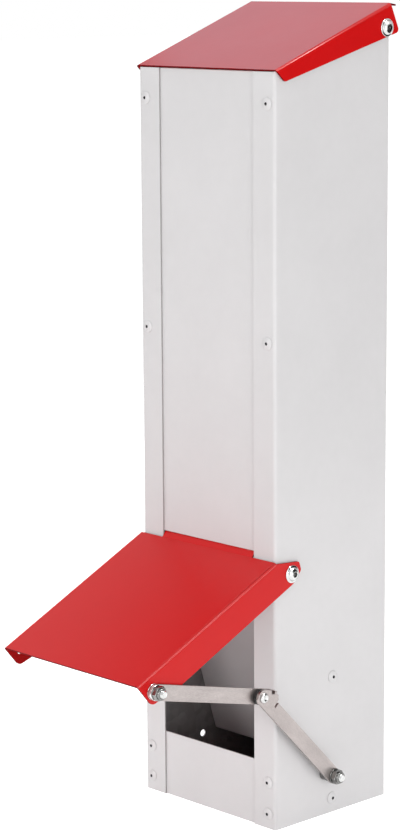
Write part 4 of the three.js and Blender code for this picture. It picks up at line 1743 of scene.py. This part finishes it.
BLACK, FULL_WHITE = (0.0, 0.0, 0.0, 1.0), (1.0, 1.0, 1.0, 1.0)
MIDDLE, SIDE_FOOT, LID = (0.0, 0.0, 0.3), (0.0, -0.1, 0.12), (0.0, -0.02, 0.6)
LAMPS = (
    Lamp("overhead", (-0.1, -0.1, 2.1), MIDDLE, 0.6, 8.8),
    Lamp("fold_line", (0.9, 0.35, 1.9), MIDDLE, 0.25, 30.0, lights=False),
    Lamp("front", (-0.35, -1.4, 0.5), MIDDLE, 0.5, 3.4),
    Lamp("sill", (-0.03, -0.27, 0.02), (0.0, -0.06, 0.02), 0.14, 0.09),
    Lamp("right", (1.75, -0.75, 0.45), SIDE_FOOT, 1.4, 17.5),
    Lamp("behind", (-1.1, 1.5, 0.35), MIDDLE, 1.2, 12.0),
)
CARDS = (
    Card("lid_card", (-0.36, 0.13, 0.92), LID, 0.5, glow=(0.34, 1.3, 1.44)),
    Card("flange_card", (0.42, 0.34, 0.5), LID, 0.64),
    Card("hood_card", (-0.367, -0.032, 0.674), (-0.02, -0.12, 0.18), 0.25),
    Card("left_card", (-0.35, 0.45, 1.9), MIDDLE, 0.8),
    Card("near_card", (2.0, -1.45, 0.3), MIDDLE, 1.2),
)


@dataclass
class Studio:
    """A pale floor, soft even light and the photograph's view."""

    azimuth: float = 46.5
    elevation: float = 10.27
    roll: float = -0.38
    lens: float = 108.9
    distance: float = 1949.4
    target_out: float = -49.84
    target_height: float = 302.35
    floor_size: float = 30000.0
    floor_white: float = 0.97
    floor_lift: float = 0.6
    sky_level: float = 0.57

    def camera(self) -> None:
        """Set up the camera at the photograph's viewing angle."""
        azimuth, elevation, roll = (math.radians(v) for v in (self.azimuth, self.elevation, self.roll))
        level = math.cos(elevation)
        back = Vector((math.sin(azimuth) * level, -math.cos(azimuth) * level, math.sin(elevation)))
        right = Vector((math.cos(azimuth), math.sin(azimuth), 0))
        up = back.cross(right)
        rolled_right = right * math.cos(roll) + up * math.sin(roll)
        rolled_up = up * math.cos(roll) - right * math.sin(roll)
        data = bpy.data.cameras.new("camera")
        data.sensor_width, data.lens, data.clip_end = 36.0, self.lens, 100.0
        camera = bpy.data.objects.new("camera", data)
        bpy.context.collection.objects.link(camera)
        matrix = Matrix((rolled_right, rolled_up, back)).transposed().to_4x4()
        target = Vector((*(right.xy * self.target_out), self.target_height))
        matrix.translation = (target + back * self.distance) * MM
        camera.matrix_world = matrix
        bpy.context.scene.camera = camera

    def seen_rays(self, board: NodeBoard) -> Socket:
        """Mark the rays that see plain white: camera, glossy and transmission.

        Args:
            board: The board of the floor or the world.

        Returns:
            One for these rays, and zero for the others.
        """
        camera, glossy, through = (
            board.add("ShaderNodeLightPath", {}).outputs[f"Is {kind} Ray"]
            for kind in ("Camera", "Glossy", "Transmission")
        )
        return board.math("MAXIMUM", board.math("MAXIMUM", camera, glossy), through)

    def world(self) -> None:
        """Surround the feeder with plain white, softer as light than as background."""
        world = bpy.data.worlds.new("studio")
        world.use_nodes = True
        bpy.context.scene.world = world
        board, nodes = NodeBoard(world.node_tree), world.node_tree.nodes
        board.feed(nodes["Background"], {"Color": FULL_WHITE, "Strength": self.sky_level})
        seen = board.add("ShaderNodeBackground", {"Color": FULL_WHITE, "Strength": 1.0})
        feeds = {0: self.seen_rays(board), 1: nodes["Background"].outputs[0], 2: seen.outputs[0]}
        mix = board.add("ShaderNodeMixShader", feeds)
        board.feed(nodes["World Output"], {"Surface": mix.outputs[0]})

    def floor(self) -> None:
        """Lay the floor: white to the eye, with the feeder's soft shadow kept."""
        bpy.ops.mesh.primitive_plane_add(size=self.floor_size * MM, location=(0, 0, 0))
        floor = named("floor")
        feeds = {"Roughness": 1.0, "Specular IOR Level": 0.0, "Emission Color": FULL_WHITE}
        feeds["Base Color"] = (self.floor_white, self.floor_white, self.floor_white, 1.0)
        material, board, shader = surface("floor_white", feeds)
        lift = board.math("MULTIPLY", self.seen_rays(board), self.floor_lift)
        board.feed(shader, {"Emission Strength": lift})
        floor.data.materials.append(material)

    def make(self) -> None:
        """Set up the view, the world, the floor, the lamps and the cards."""
        bpy.context.scene.view_settings.view_transform = "Standard"
        self.camera()
        self.world()
        self.floor()
        for lamp in LAMPS:
            lamp.hang()
        for card in CARDS:
            card.stand()


def main() -> None:
    """Build every sub-assembly in order, then the studio."""
    column, stay = Column(), Stay()
    for part in (column, Rivets(column), Hinges(column), Lid(), Hood(), stay, StayFixings(stay), Studio()):
        part.make()
        log.info("%s done", type(part).__name__)


if __name__ == "__main__":
    logging.basicConfig(level=logging.INFO, format="%(name)s: %(message)s")
    main()
